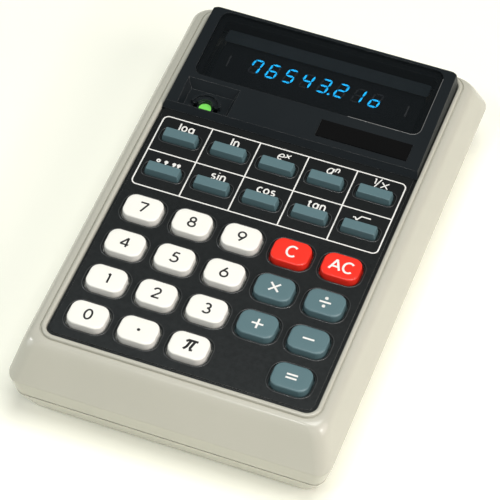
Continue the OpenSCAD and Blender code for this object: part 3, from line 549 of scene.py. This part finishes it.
def key_place(name):
    """Middle of a key in plan."""
    low, high = corners(name)
    return ((low + high) / 2)[:2]


def cap_rings(profile, x, y):
    """Rings of a key from (half width, half depth, corner, height) rows, moved to the key's place."""
    return [ring(w, -d, d, z, r, KEY_STEPS) + np.array([x, y, 0]) for w, d, r, z in profile]


def rim_rings(half_w, half_d, corner):
    """Stem, hidden rim and straight wall of a key, up to the panel's surface."""
    stem = (STEM_R, STEM_R, STEM_R)
    rim = (half_w + RIM_OUT, half_d + RIM_OUT, corner + RIM_ROUND)
    wall = (half_w, half_d, corner)
    low = [(*stem, STEM_LOW), (*stem, RIM_LOW), (*rim, RIM_LOW), (*rim, RIM_HIGH)]
    return low + [(*wall, RIM_HIGH), (*wall, PANEL_TOP)]


def main_profile():
    """Rows of a main key: a quarter round from the wall to the flat top."""
    half_w, half_d = KEY_HALF
    profile = rim_rings(half_w, half_d, KEY_CORNER)
    for turn in np.radians(np.linspace(0, 90, 7)):
        inset = KEY_DRAFT + KEY_EDGE * (1 - math.cos(turn))
        height = KEY_TOP - KEY_EDGE + KEY_EDGE * math.sin(turn)
        profile.append((half_w - inset, half_d - inset, KEY_CORNER - CORNER_SHARE * inset, height))
    return profile + [(half_w - FLAT_IN[0], half_d - FLAT_IN[1], FLAT_CORNER, KEY_TOP)]


MAIN_KEYS = ["key_" + end for end in (
    "0 point pi equals 1 2 3 plus minus 4 5 6 multiply divide 7 8 9 clear all_clear").split()]
RED_KEYS = ("key_clear", "key_all_clear")
OPERATORS_FROM = 7.0


def key_finish(name):
    """Material and slot name of a main key: figures are white, the operators to their right slate."""
    if name in RED_KEYS:
        return key_red, "key_red"
    right = key_place(name)[0] > OPERATORS_FROM
    return (key_slate, "key_slate") if right else (key_white, "key_white")


def set_key(name, profile, finish, slot):
    """One cap that rides on its key's body and stands for its solid."""
    points, faces = skin(cap_rings(profile, *key_place(name)), False)
    cap = mesh_piece(name + "_cap", points, faces, finish, SHELL_SHARP)
    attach(cap, name)
    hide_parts(name)


for name in MAIN_KEYS:
    set_key(name, main_profile(), *key_finish(name))
print("main keys:", len(MAIN_KEYS))

# %% [markdown]
# The function keys are low bars. The ends lean in towards the top and the front stays upright, so the top
# catches light and the front stays dark. Each row below is how far the end and the front are drawn in, the
# corner, and the drop from the top.

# %% Function keys
BAR_HALF, BAR_CORNER = (4.75, 1.55), 0.4
BAR_EDGE = (
    (0.1, 0.02, 0.38, 1.05),
    (0.3, 0.05, 0.32, 0.26),
    (0.35, 0.06, 0.3, 0.12),
    (0.375, 0.09, 0.28, 0.05),
    (0.42, 0.13, 0.26, 0.015),
    (0.48, 0.19, 0.22, 0.0),
    (0.6, 0.3, 0.2, 0.0),
    (1.5, 0.9, 0.2, 0.0),
)
bar_profile = rim_rings(*BAR_HALF, BAR_CORNER)
for end, front, corner, drop in BAR_EDGE:
    bar_profile.append((BAR_HALF[0] - end, BAR_HALF[1] - front, corner, BAR_TOP - drop))
FUNCTION_KEYS = ["key_" + end for end in (
    "degrees sin cos tan root log ln exp power reciprocal").split()]
for name in FUNCTION_KEYS:
    set_key(name, bar_profile, key_slate, "key_slate")
print("function keys:", len(FUNCTION_KEYS))

# %% [markdown]
# What repeats or follows a path is grown by Geometry Nodes. The trees are built here in the script, and a
# small class keeps that readable: it adds a node, sets its values and links what is already made.
# A grown object is turned into a plain mesh at once, so that nothing depends on the modifier later.


# %% Geometry tree helper
class Tree:
    """A geometry node group with named inputs."""

    KINDS = {
        "geometry": "NodeSocketGeometry",
        "length": "NodeSocketFloat",
        "material": "NodeSocketMaterial",
    }

    def __init__(self, name, **inputs):
        self.group = bpy.data.node_groups.new(name, "GeometryNodeTree")
        self.group.interface.new_socket("Geometry", in_out="OUTPUT", socket_type="NodeSocketGeometry")
        self.names = {}
        for label, kind in inputs.items():
            made = self.group.interface.new_socket(label, in_out="INPUT", socket_type=self.KINDS[kind])
            self.names[label] = made.identifier
        self.source = self.group.nodes.new("NodeGroupInput")

    def given(self, label):
        return self.source.outputs[label]

    def node(self, kind, settings=None, values=None, out=0):
        made = self.group.nodes.new(kind)
        for key, value in (settings or {}).items():
            setattr(made, key, value)
        for key, value in (values or {}).items():
            if isinstance(value, bpy.types.NodeSocket):
                self.group.links.new(value, made.inputs[key])
            else:
                made.inputs[key].default_value = value
        return made.outputs[out]

    def maths(self, operation, first, second):
        return self.node("ShaderNodeMath", {"operation": operation}, {0: first, 1: second})

    def finish(self, geometry, material):
        """Last nodes of the tree: instances made real, with their material."""
        real = self.node("GeometryNodeRealizeInstances", {}, {"Geometry": geometry})
        inked = self.node("GeometryNodeSetMaterial", {}, {"Geometry": real, "Material": material})
        end = self.group.nodes.new("NodeGroupOutput")
        self.group.links.new(inked, end.inputs[0])

    def grow(self, name, points, edges=(), turns=None, **values):
        """Plain mesh object that the tree makes from points (millimetres) and edges."""
        mesh = bpy.data.meshes.new(name + "_paths")
        mesh.from_pydata([tuple(np.asarray(p, float) * MM) for p in points], list(edges), [])
        if turns is not None:
            mesh.attributes.new("turn", "FLOAT", "POINT").data.foreach_set("value", turns)
        source = bpy.data.objects.new(name + "_paths", mesh)
        bpy.context.scene.collection.objects.link(source)
        modifier = source.modifiers.new("grow", "NODES")
        modifier.node_group = self.group
        for label, value in values.items():
            modifier[self.names[label]] = value * MM if isinstance(value, float) else value
        return settled(source, name)


print("geometry tree helper ready")

# %% [markdown]
# Each key hole in the panel has a rounded collar that shows as a thin light line round the key; the
# collar's lighter tone is wear in part and a painted highlight in part.
# One rounded rectangle is swept with a small circle and set on a point for every hole.

# %% Key collars
collar_tree = Tree(
    "collars", Holes="geometry", Width="length", Depth="length", Corner="length", Bead="length",
    Finish="material",
)
outline = collar_tree.node(
    "GeometryNodeCurvePrimitiveQuadrilateral", {"mode": "RECTANGLE"},
    {0: collar_tree.given("Width"), 1: collar_tree.given("Depth")},
)
rounded = collar_tree.node(
    "GeometryNodeFilletCurve", {"mode": "POLY"},
    {"Curve": outline, "Count": 7, "Radius": collar_tree.given("Corner")},
)
bead = collar_tree.node(
    "GeometryNodeCurvePrimitiveCircle", {}, {"Resolution": 8, "Radius": collar_tree.given("Bead")}
)
swept = collar_tree.node("GeometryNodeCurveToMesh", {}, {"Curve": rounded, "Profile Curve": bead})
placed_collars = collar_tree.node(
    "GeometryNodeInstanceOnPoints", {}, {"Points": collar_tree.given("Holes"), "Instance": swept}
)
collar_tree.finish(placed_collars, collar_tree.given("Finish"))

KEY_GAP, COLLAR_OUT, COLLAR_SUNK, COLLAR_BEAD, HOLE_CORNER = 0.4, 0.55, 0.05, 0.14, 0.8
main_holes = [(*key_place(name), PANEL_TOP - COLLAR_SUNK) for name in MAIN_KEYS]
bar_holes = [(*key_place(name), PANEL_TOP - COLLAR_SUNK) for name in FUNCTION_KEYS]
for name, holes, half_w, half_d, corner in (
    ("main_collars", main_holes, *KEY_HALF, KEY_CORNER),
    ("bar_collars", bar_holes, *BAR_HALF, HOLE_CORNER),
):
    out = KEY_GAP + COLLAR_OUT
    # The lighter collar finish paints part of the light line as a highlight.
    collars = collar_tree.grow(
        name, holes, Width=2 * (half_w + out), Depth=2 * (half_d + out), Corner=corner + out,
        Bead=COLLAR_BEAD, Finish=collar_wear_and_highlight,
    )
    collars.data.shade_smooth()
    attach(collars, "case")
    print(name, len(collars.data.polygons), "faces")

# %% [markdown]
# The window lies a little below the roof of the hood, and the edge of its opening is pale on the side of
# the hand:
# partly rubbed, partly a painted highlight. A chain of points runs along the front and right edges, on the
# slope of the roof, and carries a thin bead.

# %% Pale rim of the window, wear and painted highlight
RIM_LINE_OUT, RIM_LINE_SUNK, RIM_LINE_BEAD, RIM_LINE_CORNER, RIM_LINE_STEPS, RIM_LINE_END = 0.1, 0.09, 0.12, 2.5, 8, 12.0
WINDOW_SINK, ROOF_SLOPE = 0.35, 0.0393
window_low, window_high = corners("display_window")
rim_line_y0, rim_line_y1 = window_low[1] - RIM_LINE_OUT, window_high[1] + RIM_LINE_OUT
rim_line_ring = ring(window_high[0] + RIM_LINE_OUT, rim_line_y0, rim_line_y1, 0.0, RIM_LINE_CORNER, RIM_LINE_STEPS)
rim_line_points = []
for x, y in [(RIM_LINE_END, rim_line_y0), *(tuple(p[:2]) for p in rim_line_ring[:RIM_LINE_STEPS + 2])]:
    roof = window_high[2] + WINDOW_SINK + ROOF_SLOPE * (y - window_high[1])
    rim_line_points.append((x, y, roof - RIM_LINE_SUNK))
rim_line_edges = [(i, i + 1) for i in range(len(rim_line_points) - 1)]
rim_line_tree = Tree("worn_rim", Path="geometry", Bead="length", Finish="material")
rim_line_curve = rim_line_tree.node("GeometryNodeMeshToCurve", {}, {"Mesh": rim_line_tree.given("Path")})
rim_line_bead = rim_line_tree.node(
    "GeometryNodeCurvePrimitiveCircle", {}, {"Resolution": 8, "Radius": rim_line_tree.given("Bead")}
)
rim_line_swept = rim_line_tree.node(
    "GeometryNodeCurveToMesh", {}, {"Curve": rim_line_curve, "Profile Curve": rim_line_bead, "Fill Caps": True}
)
rim_line_tree.finish(rim_line_swept, rim_line_tree.given("Finish"))
# The bead is pale: wear in part, a painted highlight in part.
window_rim = rim_line_tree.grow("window_rim", rim_line_points, rim_line_edges, Bead=RIM_LINE_BEAD, Finish=hood_wear_and_highlight)
window_rim.data.shade_smooth()
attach(window_rim, "case")
print("window rim:", len(window_rim.data.polygons), "faces")

# %% [markdown]
# Legends and the printed frame are ink lines of even width. A stroke is a chain of points; the tree turns
# chains into curves, sweeps a small circle along them and presses the result nearly flat.
# Drawing strokes this way needs no font and keeps the line weight the same in every sign.

# %% Ink tree
INK_FLATNESS, INK_LIFT = 0.06, 0.004
ink_tree = Tree("ink_lines", Paths="geometry", Width="length", Height="length", Ink="material")
strokes = ink_tree.node("GeometryNodeMeshToCurve", {}, {"Mesh": ink_tree.given("Paths")})
half_width = ink_tree.maths("MULTIPLY", ink_tree.given("Width"), 0.5)
nib = ink_tree.node("GeometryNodeCurvePrimitiveCircle", {}, {"Resolution": 8, "Radius": half_width})
drawn = ink_tree.node(
    "GeometryNodeCurveToMesh", {}, {"Curve": strokes, "Profile Curve": nib, "Fill Caps": True}
)
lift = ink_tree.node("ShaderNodeCombineXYZ", {}, {"Z": ink_tree.given("Height")})
pressed = ink_tree.node(
    "GeometryNodeTransform", {},
    {"Geometry": drawn, "Translation": lift, "Scale": (1, 1, INK_FLATNESS)},
)
ink_tree.finish(pressed, ink_tree.given("Ink"))


def print_strokes(name, chains, width, height, ink, body):
    """Ink lines along chains of (x, y) in millimetres, just above a level surface of a body."""
    points, edges = [], []
    for chain in chains:
        start = len(points)
        points += [(x, y, 0.0) for x, y in chain]
        edges += [(start + i, start + i + 1) for i in range(len(chain) - 1)]
    lines = ink_tree.grow(name, points, edges, Width=float(width), Height=float(height + INK_LIFT), Ink=ink)
    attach(lines, body)
    return lines


def bow(cx, cy, rx, ry, start, stop, steps=14):
    """Part of an ellipse as a chain, angles in degrees."""
    angles = np.radians(np.linspace(start, stop, steps + 1))
    return [(cx + rx * math.cos(a), cy + ry * math.sin(a)) for a in angles]


def loop(cx, cy, rx, ry, steps=24):
    """A whole ellipse as a chain."""
    return bow(cx, cy, rx, ry, 0, 360, steps)


print("ink tree ready")

# %% [markdown]
# The frame is one rounded outline with a line across, and a divider between the columns.

# %% Printed frame
FRAME_HALF_W, FRAME_CORNER, FRAME_STROKE = 33.75, 1.5, 0.38
LOW_ROW, HIGH_ROW = key_place("key_sin")[1], key_place("key_ln")[1]
FRAME_Y0, FRAME_MID, FRAME_Y1 = LOW_ROW - 6.0, LOW_ROW + 6.31, HIGH_ROW + 6.36
outline_ring = [tuple(p[:2]) for p in ring(FRAME_HALF_W, FRAME_Y0, FRAME_Y1, 0.0, FRAME_CORNER, 8)]
frame_chains = [outline_ring + outline_ring[:1]]
frame_chains.append([(-FRAME_HALF_W, FRAME_MID), (FRAME_HALF_W, FRAME_MID)])
columns = [key_place(name)[0] for name in ("key_degrees", "key_sin", "key_cos", "key_tan", "key_root")]
for x in [(a + b) / 2 for a, b in zip(columns, columns[1:])]:
    frame_chains.append([(x, FRAME_Y0), (x, FRAME_Y1)])
printed_frame = print_strokes("printed_frame", frame_chains, FRAME_STROKE, PANEL_TOP, white_ink, "case")
print("printed frame:", len(printed_frame.data.polygons), "faces")

# %% [markdown]
# The signs are drawn on a box one unit high. Corners that must stay sharp are made by two strokes that
# meet.

# %% Signs
SIGNS = {
    "0": [loop(0.36, 0.5, 0.31, 0.5)],
    "1": [[(0.36, 0), (0.36, 1)], [(0.36, 1), (0.2, 0.86)]],
    "2": [bow(0.35, 0.72, 0.29, 0.28, 170, -35) + [(0.04, 0.0)], [(0.02, 0), (0.7, 0)]],
    "3": [bow(0.33, 0.76, 0.24, 0.24, 150, -90), bow(0.33, 0.265, 0.31, 0.265, 90, -150)],
    "4": [[(0.55, 0), (0.55, 1)], [(0.55, 1), (0, 0.27)], [(0, 0.27), (0.74, 0.27)]],
    "5": [[(0.66, 1), (0.25, 1)], [(0.25, 1), (0.15, 0.56)], bow(0.33, 0.31, 0.34, 0.31, 122, -150)],
    "6": [loop(0.36, 0.31, 0.32, 0.31), [(0.1, 0.48), (0.47, 1)]],
    "7": [[(0, 1), (0.72, 1)], [(0.71, 1), (0.28, 0)]],
    "8": [loop(0.36, 0.76, 0.24, 0.24), loop(0.36, 0.265, 0.31, 0.265)],
    "9": [loop(0.36, 0.69, 0.32, 0.31), [(0.62, 0.52), (0.25, 0)]],
    ".": [loop(0.12, 0.06, 0.07, 0.07, 12), [(0.06, 0.06), (0.18, 0.06)]],
    "C": [bow(0.45, 0.5, 0.42, 0.5, 45, 315, 20)],
    "A": [[(0, 0), (0.42, 1)], [(0.42, 1), (0.84, 0)], [(0.14, 0.32), (0.7, 0.32)]],
    "x": [[(0, 0), (0.8, 0.8)], [(0, 0.8), (0.8, 0)]],
    "/": [[(0, 0.4), (0.9, 0.4)], loop(0.45, 0.78, 0.06, 0.06, 10), loop(0.45, 0.02, 0.06, 0.06, 10)],
    "+": [[(0, 0.4), (0.9, 0.4)], [(0.45, -0.05), (0.45, 0.85)]],
    "-": [[(0, 0.4), (0.9, 0.4)]],
    "=": [[(0, 0.24), (0.9, 0.24)], [(0, 0.58), (0.9, 0.58)]],
    "p": [[(0.02, 0.82), (0.2, 1), (1.0, 1)], [(0.38, 1), (0.32, 0.3), (0.16, 0.0)],
          [(0.74, 1), (0.66, 0.25), (0.74, 0.02), (0.92, 0.08)]],
    "l": [[(0.06, 0), (0.06, 1.16)]],
    "o": [loop(0.34, 0.42, 0.31, 0.4, 18)],
    "g": [loop(0.33, 0.42, 0.3, 0.4, 18), [(0.63, 0.82), (0.63, -0.1)],
          bow(0.34, -0.1, 0.29, 0.28, 0, -150)],
    "n": [[(0.06, 0), (0.06, 0.84)], bow(0.34, 0.5, 0.28, 0.34, 180, 0) + [(0.62, 0)]],
    "s": [bow(0.28, 0.62, 0.22, 0.2, 40, 270, 10), bow(0.28, 0.21, 0.24, 0.21, 90, -140, 10)],
    "i": [[(0.06, 0), (0.06, 0.84)], [(0.06, 1.12), (0.06, 1.22)]],
    "c": [bow(0.36, 0.42, 0.33, 0.42, 50, 310)],
    "t": [[(0.2, 1.08), (0.2, 0.12), (0.32, 0.0), (0.44, 0.03)], [(0, 0.82), (0.42, 0.82)]],
    "a": [loop(0.33, 0.42, 0.3, 0.4, 18), [(0.64, 0.84), (0.64, 0)]],
    "e": [[(0.05, 0.42), (0.62, 0.42)], bow(0.34, 0.42, 0.3, 0.42, 0, 310)],
}
SIGN_WIDTH = {key: max(x for chain in chains for x, _ in chain) for key, chains in SIGNS.items()}


def write(text, x, y, height, gap=0.3, slant=0.0):
    """Chains of a word centred on x, standing on y."""
    advance = [SIGN_WIDTH[key] * height for key in text]
    left = x - (sum(advance) + gap * height * (len(text) - 1)) / 2
    chains = []
    for key, wide in zip(text, advance):
        for chain in SIGNS[key]:
            chains.append([(left + height * (px + slant * py), y + height * py) for px, py in chain])
        left += wide + gap * height
    return chains


print("signs:", len(SIGNS))

# %% [markdown]
# Every legend on a main key is a piece of its own that rides on that key, so it goes down with it.
# Each row is the sign, its height, the width of its stroke and its slant.

# %% Key legends
DIGIT_HEIGHT, DIGIT_STROKE, SIGN_STROKE, CLEAR_STROKE, SIGN_GAP = 3.0, 0.52, 0.58, 0.62, 0.18
KEY_SIGNS = {
    "key_point": (".", DIGIT_HEIGHT, 0.5, 0.0),
    "key_pi": ("p", DIGIT_HEIGHT, 0.72, 0.15),
    "key_equals": ("=", 3.2, SIGN_STROKE, 0.0),
    "key_plus": ("+", 3.4, SIGN_STROKE, 0.0),
    "key_minus": ("-", 3.4, SIGN_STROKE, 0.0),
    "key_multiply": ("x", 3.2, SIGN_STROKE, 0.0),
    "key_divide": ("/", 3.4, SIGN_STROKE, 0.0),
    "key_clear": ("C", 3.3, CLEAR_STROKE, 0.0),
    "key_all_clear": ("AC", 3.3, CLEAR_STROKE, 0.0),
}
KEY_SIGNS.update({"key_" + digit: (digit, DIGIT_HEIGHT, DIGIT_STROKE, 0.0) for digit in "0123456789"})
for name, (sign, height, width, slant) in KEY_SIGNS.items():
    x, y = key_place(name)
    ys = [py for key in sign for chain in SIGNS[key] for _, py in chain]
    base = y - height * (min(ys) + max(ys)) / 2
    ink = black_ink if key_finish(name)[0] is key_white else white_ink
    chains = write(sign, x, base, height, SIGN_GAP, slant)
    print_strokes(name + "_sign", chains, width, KEY_TOP, ink, name)
print("key legends:", len(KEY_SIGNS))

# %% [markdown]
# The function legends are printed on the panel behind their keys. Raised letters are smaller copies set
# higher. The words are bold, and the sloped letters and the fraction have a finer stroke of their own.

# %% Function legends
LEGEND_X = (-26.72, -13.05, 0.25, 14.05, 26.6)
LEGEND_Y = (LOW_ROW + 2.72, HIGH_ROW + 2.8)
LETTER, BASE_LETTER, RAISED, SLOPE, RAISED_BY = 2.05, 2.35, 1.55, 0.22, 1.0
WORD_STROKE, SLOPED_STROKE = 0.45, 0.36
low, high = LEGEND_Y
word_chains = []
for words, base in ((("", "sin", "cos", "tan", ""), low), (("log", "ln", "", "", ""), high)):
    for x, word in zip(LEGEND_X, words):
        word_chains += write(word, x, base, LETTER)

DEGREE_AT, DEGREE_R = (-2.9, 0.75), 0.4
COMMA_STEPS, COMMA_LIFT, COMMA_R, COMMA_FILL = (-0.75, 1.47, 2.74), 0.85, 0.34, 0.3
word_chains.append(loop(LEGEND_X[0] + DEGREE_AT[0], low + DEGREE_AT[1], DEGREE_R, DEGREE_R, 12))
for step in COMMA_STEPS:
    x, y = LEGEND_X[0] + step, low + COMMA_LIFT
    word_chains.append(loop(x, y, COMMA_R, COMMA_R, 10))
    word_chains.append([(x - COMMA_FILL, y), (x + COMMA_FILL, y)])
    word_chains.append([(x + 0.36, y), (x - 0.1, y - COMMA_LIFT)])

root, root_foot, root_top = LEGEND_X[4] - 0.2, low + 0.25, low + 1.75
word_chains.append([(root - 2.3, low + 0.95), (root - 1.7, low + 1.05), (root - 1.15, root_foot)])
word_chains.append([(root - 1.15, root_foot), (root - 0.2, root_top), (root + 2.3, root_top)])

sloped = write("e", LEGEND_X[2] - 0.7, high, BASE_LETTER, slant=SLOPE)
sloped += write("x", LEGEND_X[2] + 1.2, high + RAISED_BY, RAISED, slant=SLOPE)
sloped += write("a", LEGEND_X[3] - 0.8, high, BASE_LETTER, slant=SLOPE)
sloped += write("n", LEGEND_X[3] + 1.1, high + RAISED_BY, RAISED, slant=SLOPE)
sloped += write("1", LEGEND_X[4] - 1.15, high + 1.05, 1.75)
sloped.append([(LEGEND_X[4] - 0.65, high - 0.05), (LEGEND_X[4] + 0.55, high + 3.05)])
sloped += write("x", LEGEND_X[4] + 1.85, high + 0.25, BASE_LETTER)
sloped_legends = print_strokes("sloped_legends", sloped, SLOPED_STROKE, PANEL_TOP, white_ink, "case")
print("sloped legends:", len(sloped_legends.data.polygons), "faces")
function_legends = print_strokes(
    "function_legends", word_chains, WORD_STROKE, PANEL_TOP, white_ink, "case"
)
print("function legends:", len(function_legends.data.polygons), "faces")

# %% [markdown]
# The display is a vacuum tube with eight places of seven segments. One six-sided bar is set on a point for
# each segment, turned by an attribute, and the row is leaned over by shifting each point with its height.

# %% Display digits
HEX_R, HEX_LONG, HEX_WIDE, HEX_DEEP, LEAN = 0.0005, 0.001, 0.000866, 0.00004, 0.16
segment_tree = Tree(
    "segments", Places="geometry", Length="length", Thickness="length", Base="length", Phosphor="material"
)
bar = segment_tree.node("GeometryNodeMeshCylinder", {}, {"Vertices": 6, "Radius": HEX_R, "Depth": HEX_DEEP})
size = segment_tree.node("ShaderNodeCombineXYZ", {}, {
    "X": segment_tree.maths("DIVIDE", segment_tree.given("Length"), HEX_LONG),
    "Y": segment_tree.maths("DIVIDE", segment_tree.given("Thickness"), HEX_WIDE),
    "Z": 1.0,
})
shaped = segment_tree.node("GeometryNodeTransform", {}, {"Geometry": bar, "Scale": size})
turn = segment_tree.node("GeometryNodeInputNamedAttribute", {"data_type": "FLOAT"}, {"Name": "turn"})
angles = segment_tree.node("ShaderNodeCombineXYZ", {}, {"Z": turn})
spin = segment_tree.node("FunctionNodeEulerToRotation", {}, {0: angles})
bars = segment_tree.node(
    "GeometryNodeInstanceOnPoints", {},
    {"Points": segment_tree.given("Places"), "Instance": shaped, "Rotation": spin},
)
real_bars = segment_tree.node("GeometryNodeRealizeInstances", {}, {"Geometry": bars})
where = segment_tree.node("GeometryNodeInputPosition")
along = segment_tree.node("ShaderNodeSeparateXYZ", {}, {0: where}, out=1)
above = segment_tree.maths("SUBTRACT", along, segment_tree.given("Base"))
offset = segment_tree.node("ShaderNodeCombineXYZ", {}, {"X": segment_tree.maths("MULTIPLY", above, LEAN)})
leaned = segment_tree.node("GeometryNodeSetPosition", {}, {"Geometry": real_bars, "Offset": offset})
segment_tree.finish(leaned, segment_tree.given("Phosphor"))
print("segment tree ready")

# %% [markdown]
# A digit is a list of the segments that are on, by the usual letters, and what is left over is drawn unlit.
# Each segment has its side, its level and whether it stands upright.

# %% Lit and unlit segments
plate_low, plate_high = corners("tube_segments")
DIGIT_BACK, DIGIT_LIFT = 1.1, 0.03
DIGIT_Y, DIGIT_Z = (plate_low[1] + plate_high[1]) / 2 + DIGIT_BACK, plate_high[2] + DIGIT_LIFT
DIGIT_X0, DIGIT_PITCH, DIGIT_W, DIGIT_H = -18.0, 4.88, 2.35, 4.75
SEGMENT_SIZE, POINT_SIZE = {"Length": 2.3, "Thickness": 0.55}, {"Length": 0.75, "Thickness": 0.65}
POINT_AFTER, POINT_STEP = 4, 2.3
SEGMENTS = {
    "a": (0, 1, 0), "d": (0, -1, 0), "g": (0, 0, 0),
    "f": (-1, 0.5, 1), "b": (1, 0.5, 1), "e": (-1, -0.5, 1), "c": (1, -0.5, 1),
}
SHOWN = ("abcf", "acdefg", "acdfg", "bcfg", "abcdg", "abdeg", "bc", "cdeg")
lit, dim = [], []
for place, on in enumerate(SHOWN):
    for key, (sx, sy, upright) in SEGMENTS.items():
        spot = (DIGIT_X0 + DIGIT_PITCH * place + sx * DIGIT_W / 2, DIGIT_Y + sy * DIGIT_H / 2, DIGIT_Z)
        (lit if key in on else dim).append((spot, upright * math.pi / 2))
point_at = (DIGIT_X0 + DIGIT_PITCH * POINT_AFTER + POINT_STEP, DIGIT_Y - DIGIT_H / 2, DIGIT_Z)
for name, rows, phosphor in (("digits_lit", lit, phosphor_lit), ("digits_unlit", dim, phosphor_dim)):
    spots, turned = zip(*rows)
    digits = segment_tree.grow(name, spots, turns=turned, **SEGMENT_SIZE, Base=DIGIT_Y, Phosphor=phosphor)
    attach(digits, "case")
    print(name, len(rows), "segments")
point = segment_tree.grow(
    "decimal_point", [point_at], turns=[0.0], **POINT_SIZE, Base=DIGIT_Y, Phosphor=phosphor_lit
)
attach(point, "case")

# %% [markdown]
# Behind the digits a grey-blue strip on the tube is a painted reflection, and a grey post stands at either
# end of the row, its light grey partly a painted highlight. They are small, but they are what tells the eye
# that the window has depth.

# %% Painted reflection and posts in the window
REFLECTION_HALF_W, REFLECTION_Y, REFLECTION_Z = 29.0, (52.3, 56.6), (0.02, 0.1)
POST_HALF_W, POST_Y, POST_RISE = 0.2, (44.6, 48.6), 0.3
POST_X = {"left": -25.6, "right": 25.2}
STRIP_ROUND, STRIP_STEPS = 0.3, 3
tube_low, tube_high = corners("display_tube")


def strip(name, x, half_w, y_range, z_range, material):
    """A plain bar with rounded ends, about x."""
    y, half_d = sum(y_range) / 2, (y_range[1] - y_range[0]) / 2
    corner = STRIP_ROUND * min(half_w, half_d)
    rings = [ring(half_w, -half_d, half_d, z, corner, STRIP_STEPS) + np.array([x, y, 0]) for z in z_range]
    bar = mesh_piece(name, *skin(rings, False), material)
    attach(bar, "case")


# The strip is a painted reflection, not a part of the tube.
strip("tube_tape", 0.0, REFLECTION_HALF_W, REFLECTION_Y, [tube_high[2] + z for z in REFLECTION_Z], painted_reflection)
for side, x in POST_X.items():
    # The posts' light grey is partly a painted highlight.
    strip("tube_post_" + side, x, POST_HALF_W, POST_Y, (DIGIT_Z, DIGIT_Z + POST_RISE), post_paint_and_highlight)
print("tape and posts on a tube", [round(c, 1) for c in tube_high - tube_low], "mm")

# %% [markdown]
# The solids whose shape is already right keep their meshes and only take a finish, by the node's name.

# %% Finishes on the kept solids
NODE_FINISH = {
    "display_window": window_acrylic, "name_plate": plate_plastic, "display_tube": tube_glass,
    "tube_segments": segment_ceramic, "tube_leads": steel, "tube_cradle": chip_plastic,
    "display_board": board_resin, "display_ribbon": ribbon_plastic, "key_mat": grey_rubber,
    "key_board": board_resin, "main_board": board_resin, "board_pins": steel,
    "logic_chip": chip_plastic, "converter_coil": coil_lacquer, "capacitors": sleeve_plastic,
    "switch_body": chip_plastic, "on_mark": green_paint, "adaptor_jack": chip_plastic,
    "cells": jacket, "cell_springs": steel, "cell_plates": steel, "case_screws": steel,
    "key_board_screws": steel, "main_board_screws": steel, "rubber_feet": dark_rubber,
}
for node, finish in NODE_FINISH.items():
    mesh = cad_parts[node].data
    mesh.materials.clear()
    mesh.materials.append(finish)
print("finished solids:", len(NODE_FINISH))

# %% [markdown]
# The floor is a flat pale sheet. It is lit by the same lamps and glows a little by itself, so the object
# keeps only a soft contact shadow.

# %% Floor
FLOOR_HALF, FLOOR_GLOW = 4, 0.14
floor_finish = Finish("pale_floor")
paper = floor_finish.noise(9.0, 3.0)
pale = floor_finish.between(paper, (0.89, 0.895, 0.79), (0.92, 0.925, 0.82))
floor_material = floor_finish.surface(
    Base_Color=pale, Roughness=0.8, Emission_Color=pale, Emission_Strength=FLOOR_GLOW
)
floor_mesh = bpy.data.meshes.new("pale_floor")
floor_corners = [(sx * FLOOR_HALF, sy * FLOOR_HALF, 0) for sx, sy in ((-1, -1), (1, -1), (1, 1), (-1, 1))]
floor_mesh.from_pydata(floor_corners, [], [(0, 1, 2, 3)])
floor_mesh.materials.append(floor_material)
floor = bpy.data.objects.new("pale_floor", floor_mesh)
bpy.context.scene.collection.objects.link(floor)
print("floor made")

# %% [markdown]
# Soft light comes from large panels. The broadest one stands to the right, so that side of the case is the
# brightest. What the flat panel mirrors towards the camera lies behind and to the left, and that part of
# the room stays dark: a black gloss surface looks black only when it has something dark to mirror.
# Three small lamps add the bright points on the rounded corners and keys that make plastic look polished.


# %% Lights
def soft_lamp(name, place, size, watts, tint):
    """Area lamp in metres that faces the origin."""
    lamp = bpy.data.lights.new(name, "AREA")
    lamp.shape, lamp.size, lamp.size_y = "RECTANGLE", *size
    lamp.energy, lamp.color = watts, tint
    holder = bpy.data.objects.new(name, lamp)
    bpy.context.scene.collection.objects.link(holder)
    facing = (-Vector(place)).to_track_quat("-Z", "Y").to_matrix().to_4x4()
    holder.matrix_world = Matrix.Translation(place) @ facing


WARM, WHITE, PLAIN, COOL, CREAM = (1, 0.9, 0.87), (1, 1, 0.98), (1, 1, 1), (0.97, 0.99, 1), (1, 0.97, 0.95)
soft_lamp("right_panel", (0.75, -0.15, 0.5), (0.7, 0.6), 4.1, WARM)
soft_lamp("front_panel", (0.28, -0.8, 0.5), (0.6, 0.5), 0.35, WHITE)
soft_lamp("top_panel", (0.15, 0.0, 0.95), (0.5, 0.5), 5.6, WHITE)
soft_lamp("left_panel", (-0.8, -0.3, 0.3), (0.4, 0.4), 1.2, COOL)
soft_lamp("glint_lamp", (-0.08, -0.45, 0.7), (0.06, 0.06), 0.7, PLAIN)
soft_lamp("left_corner_lamp", (-0.78, -0.2, 0.43), (0.07, 0.07), 0.8, PLAIN)
soft_lamp("right_corner_lamp", (0.66, -0.33, 0.49), (0.07, 0.07), 0.8, CREAM)
ROOM_TINT, ROOM_STRENGTH = (0.9, 0.93, 0.95, 1), 0.15
room = bpy.data.worlds.new("room")
room.use_nodes = True
backdrop = room.node_tree.nodes["Background"]
backdrop.inputs["Color"].default_value = ROOM_TINT
backdrop.inputs["Strength"].default_value = ROOM_STRENGTH
bpy.context.scene.world = room
print("lights placed")

# %% [markdown]
# The script ends here. The dressed object must not outgrow the solids.

# %% End
print("scene done")
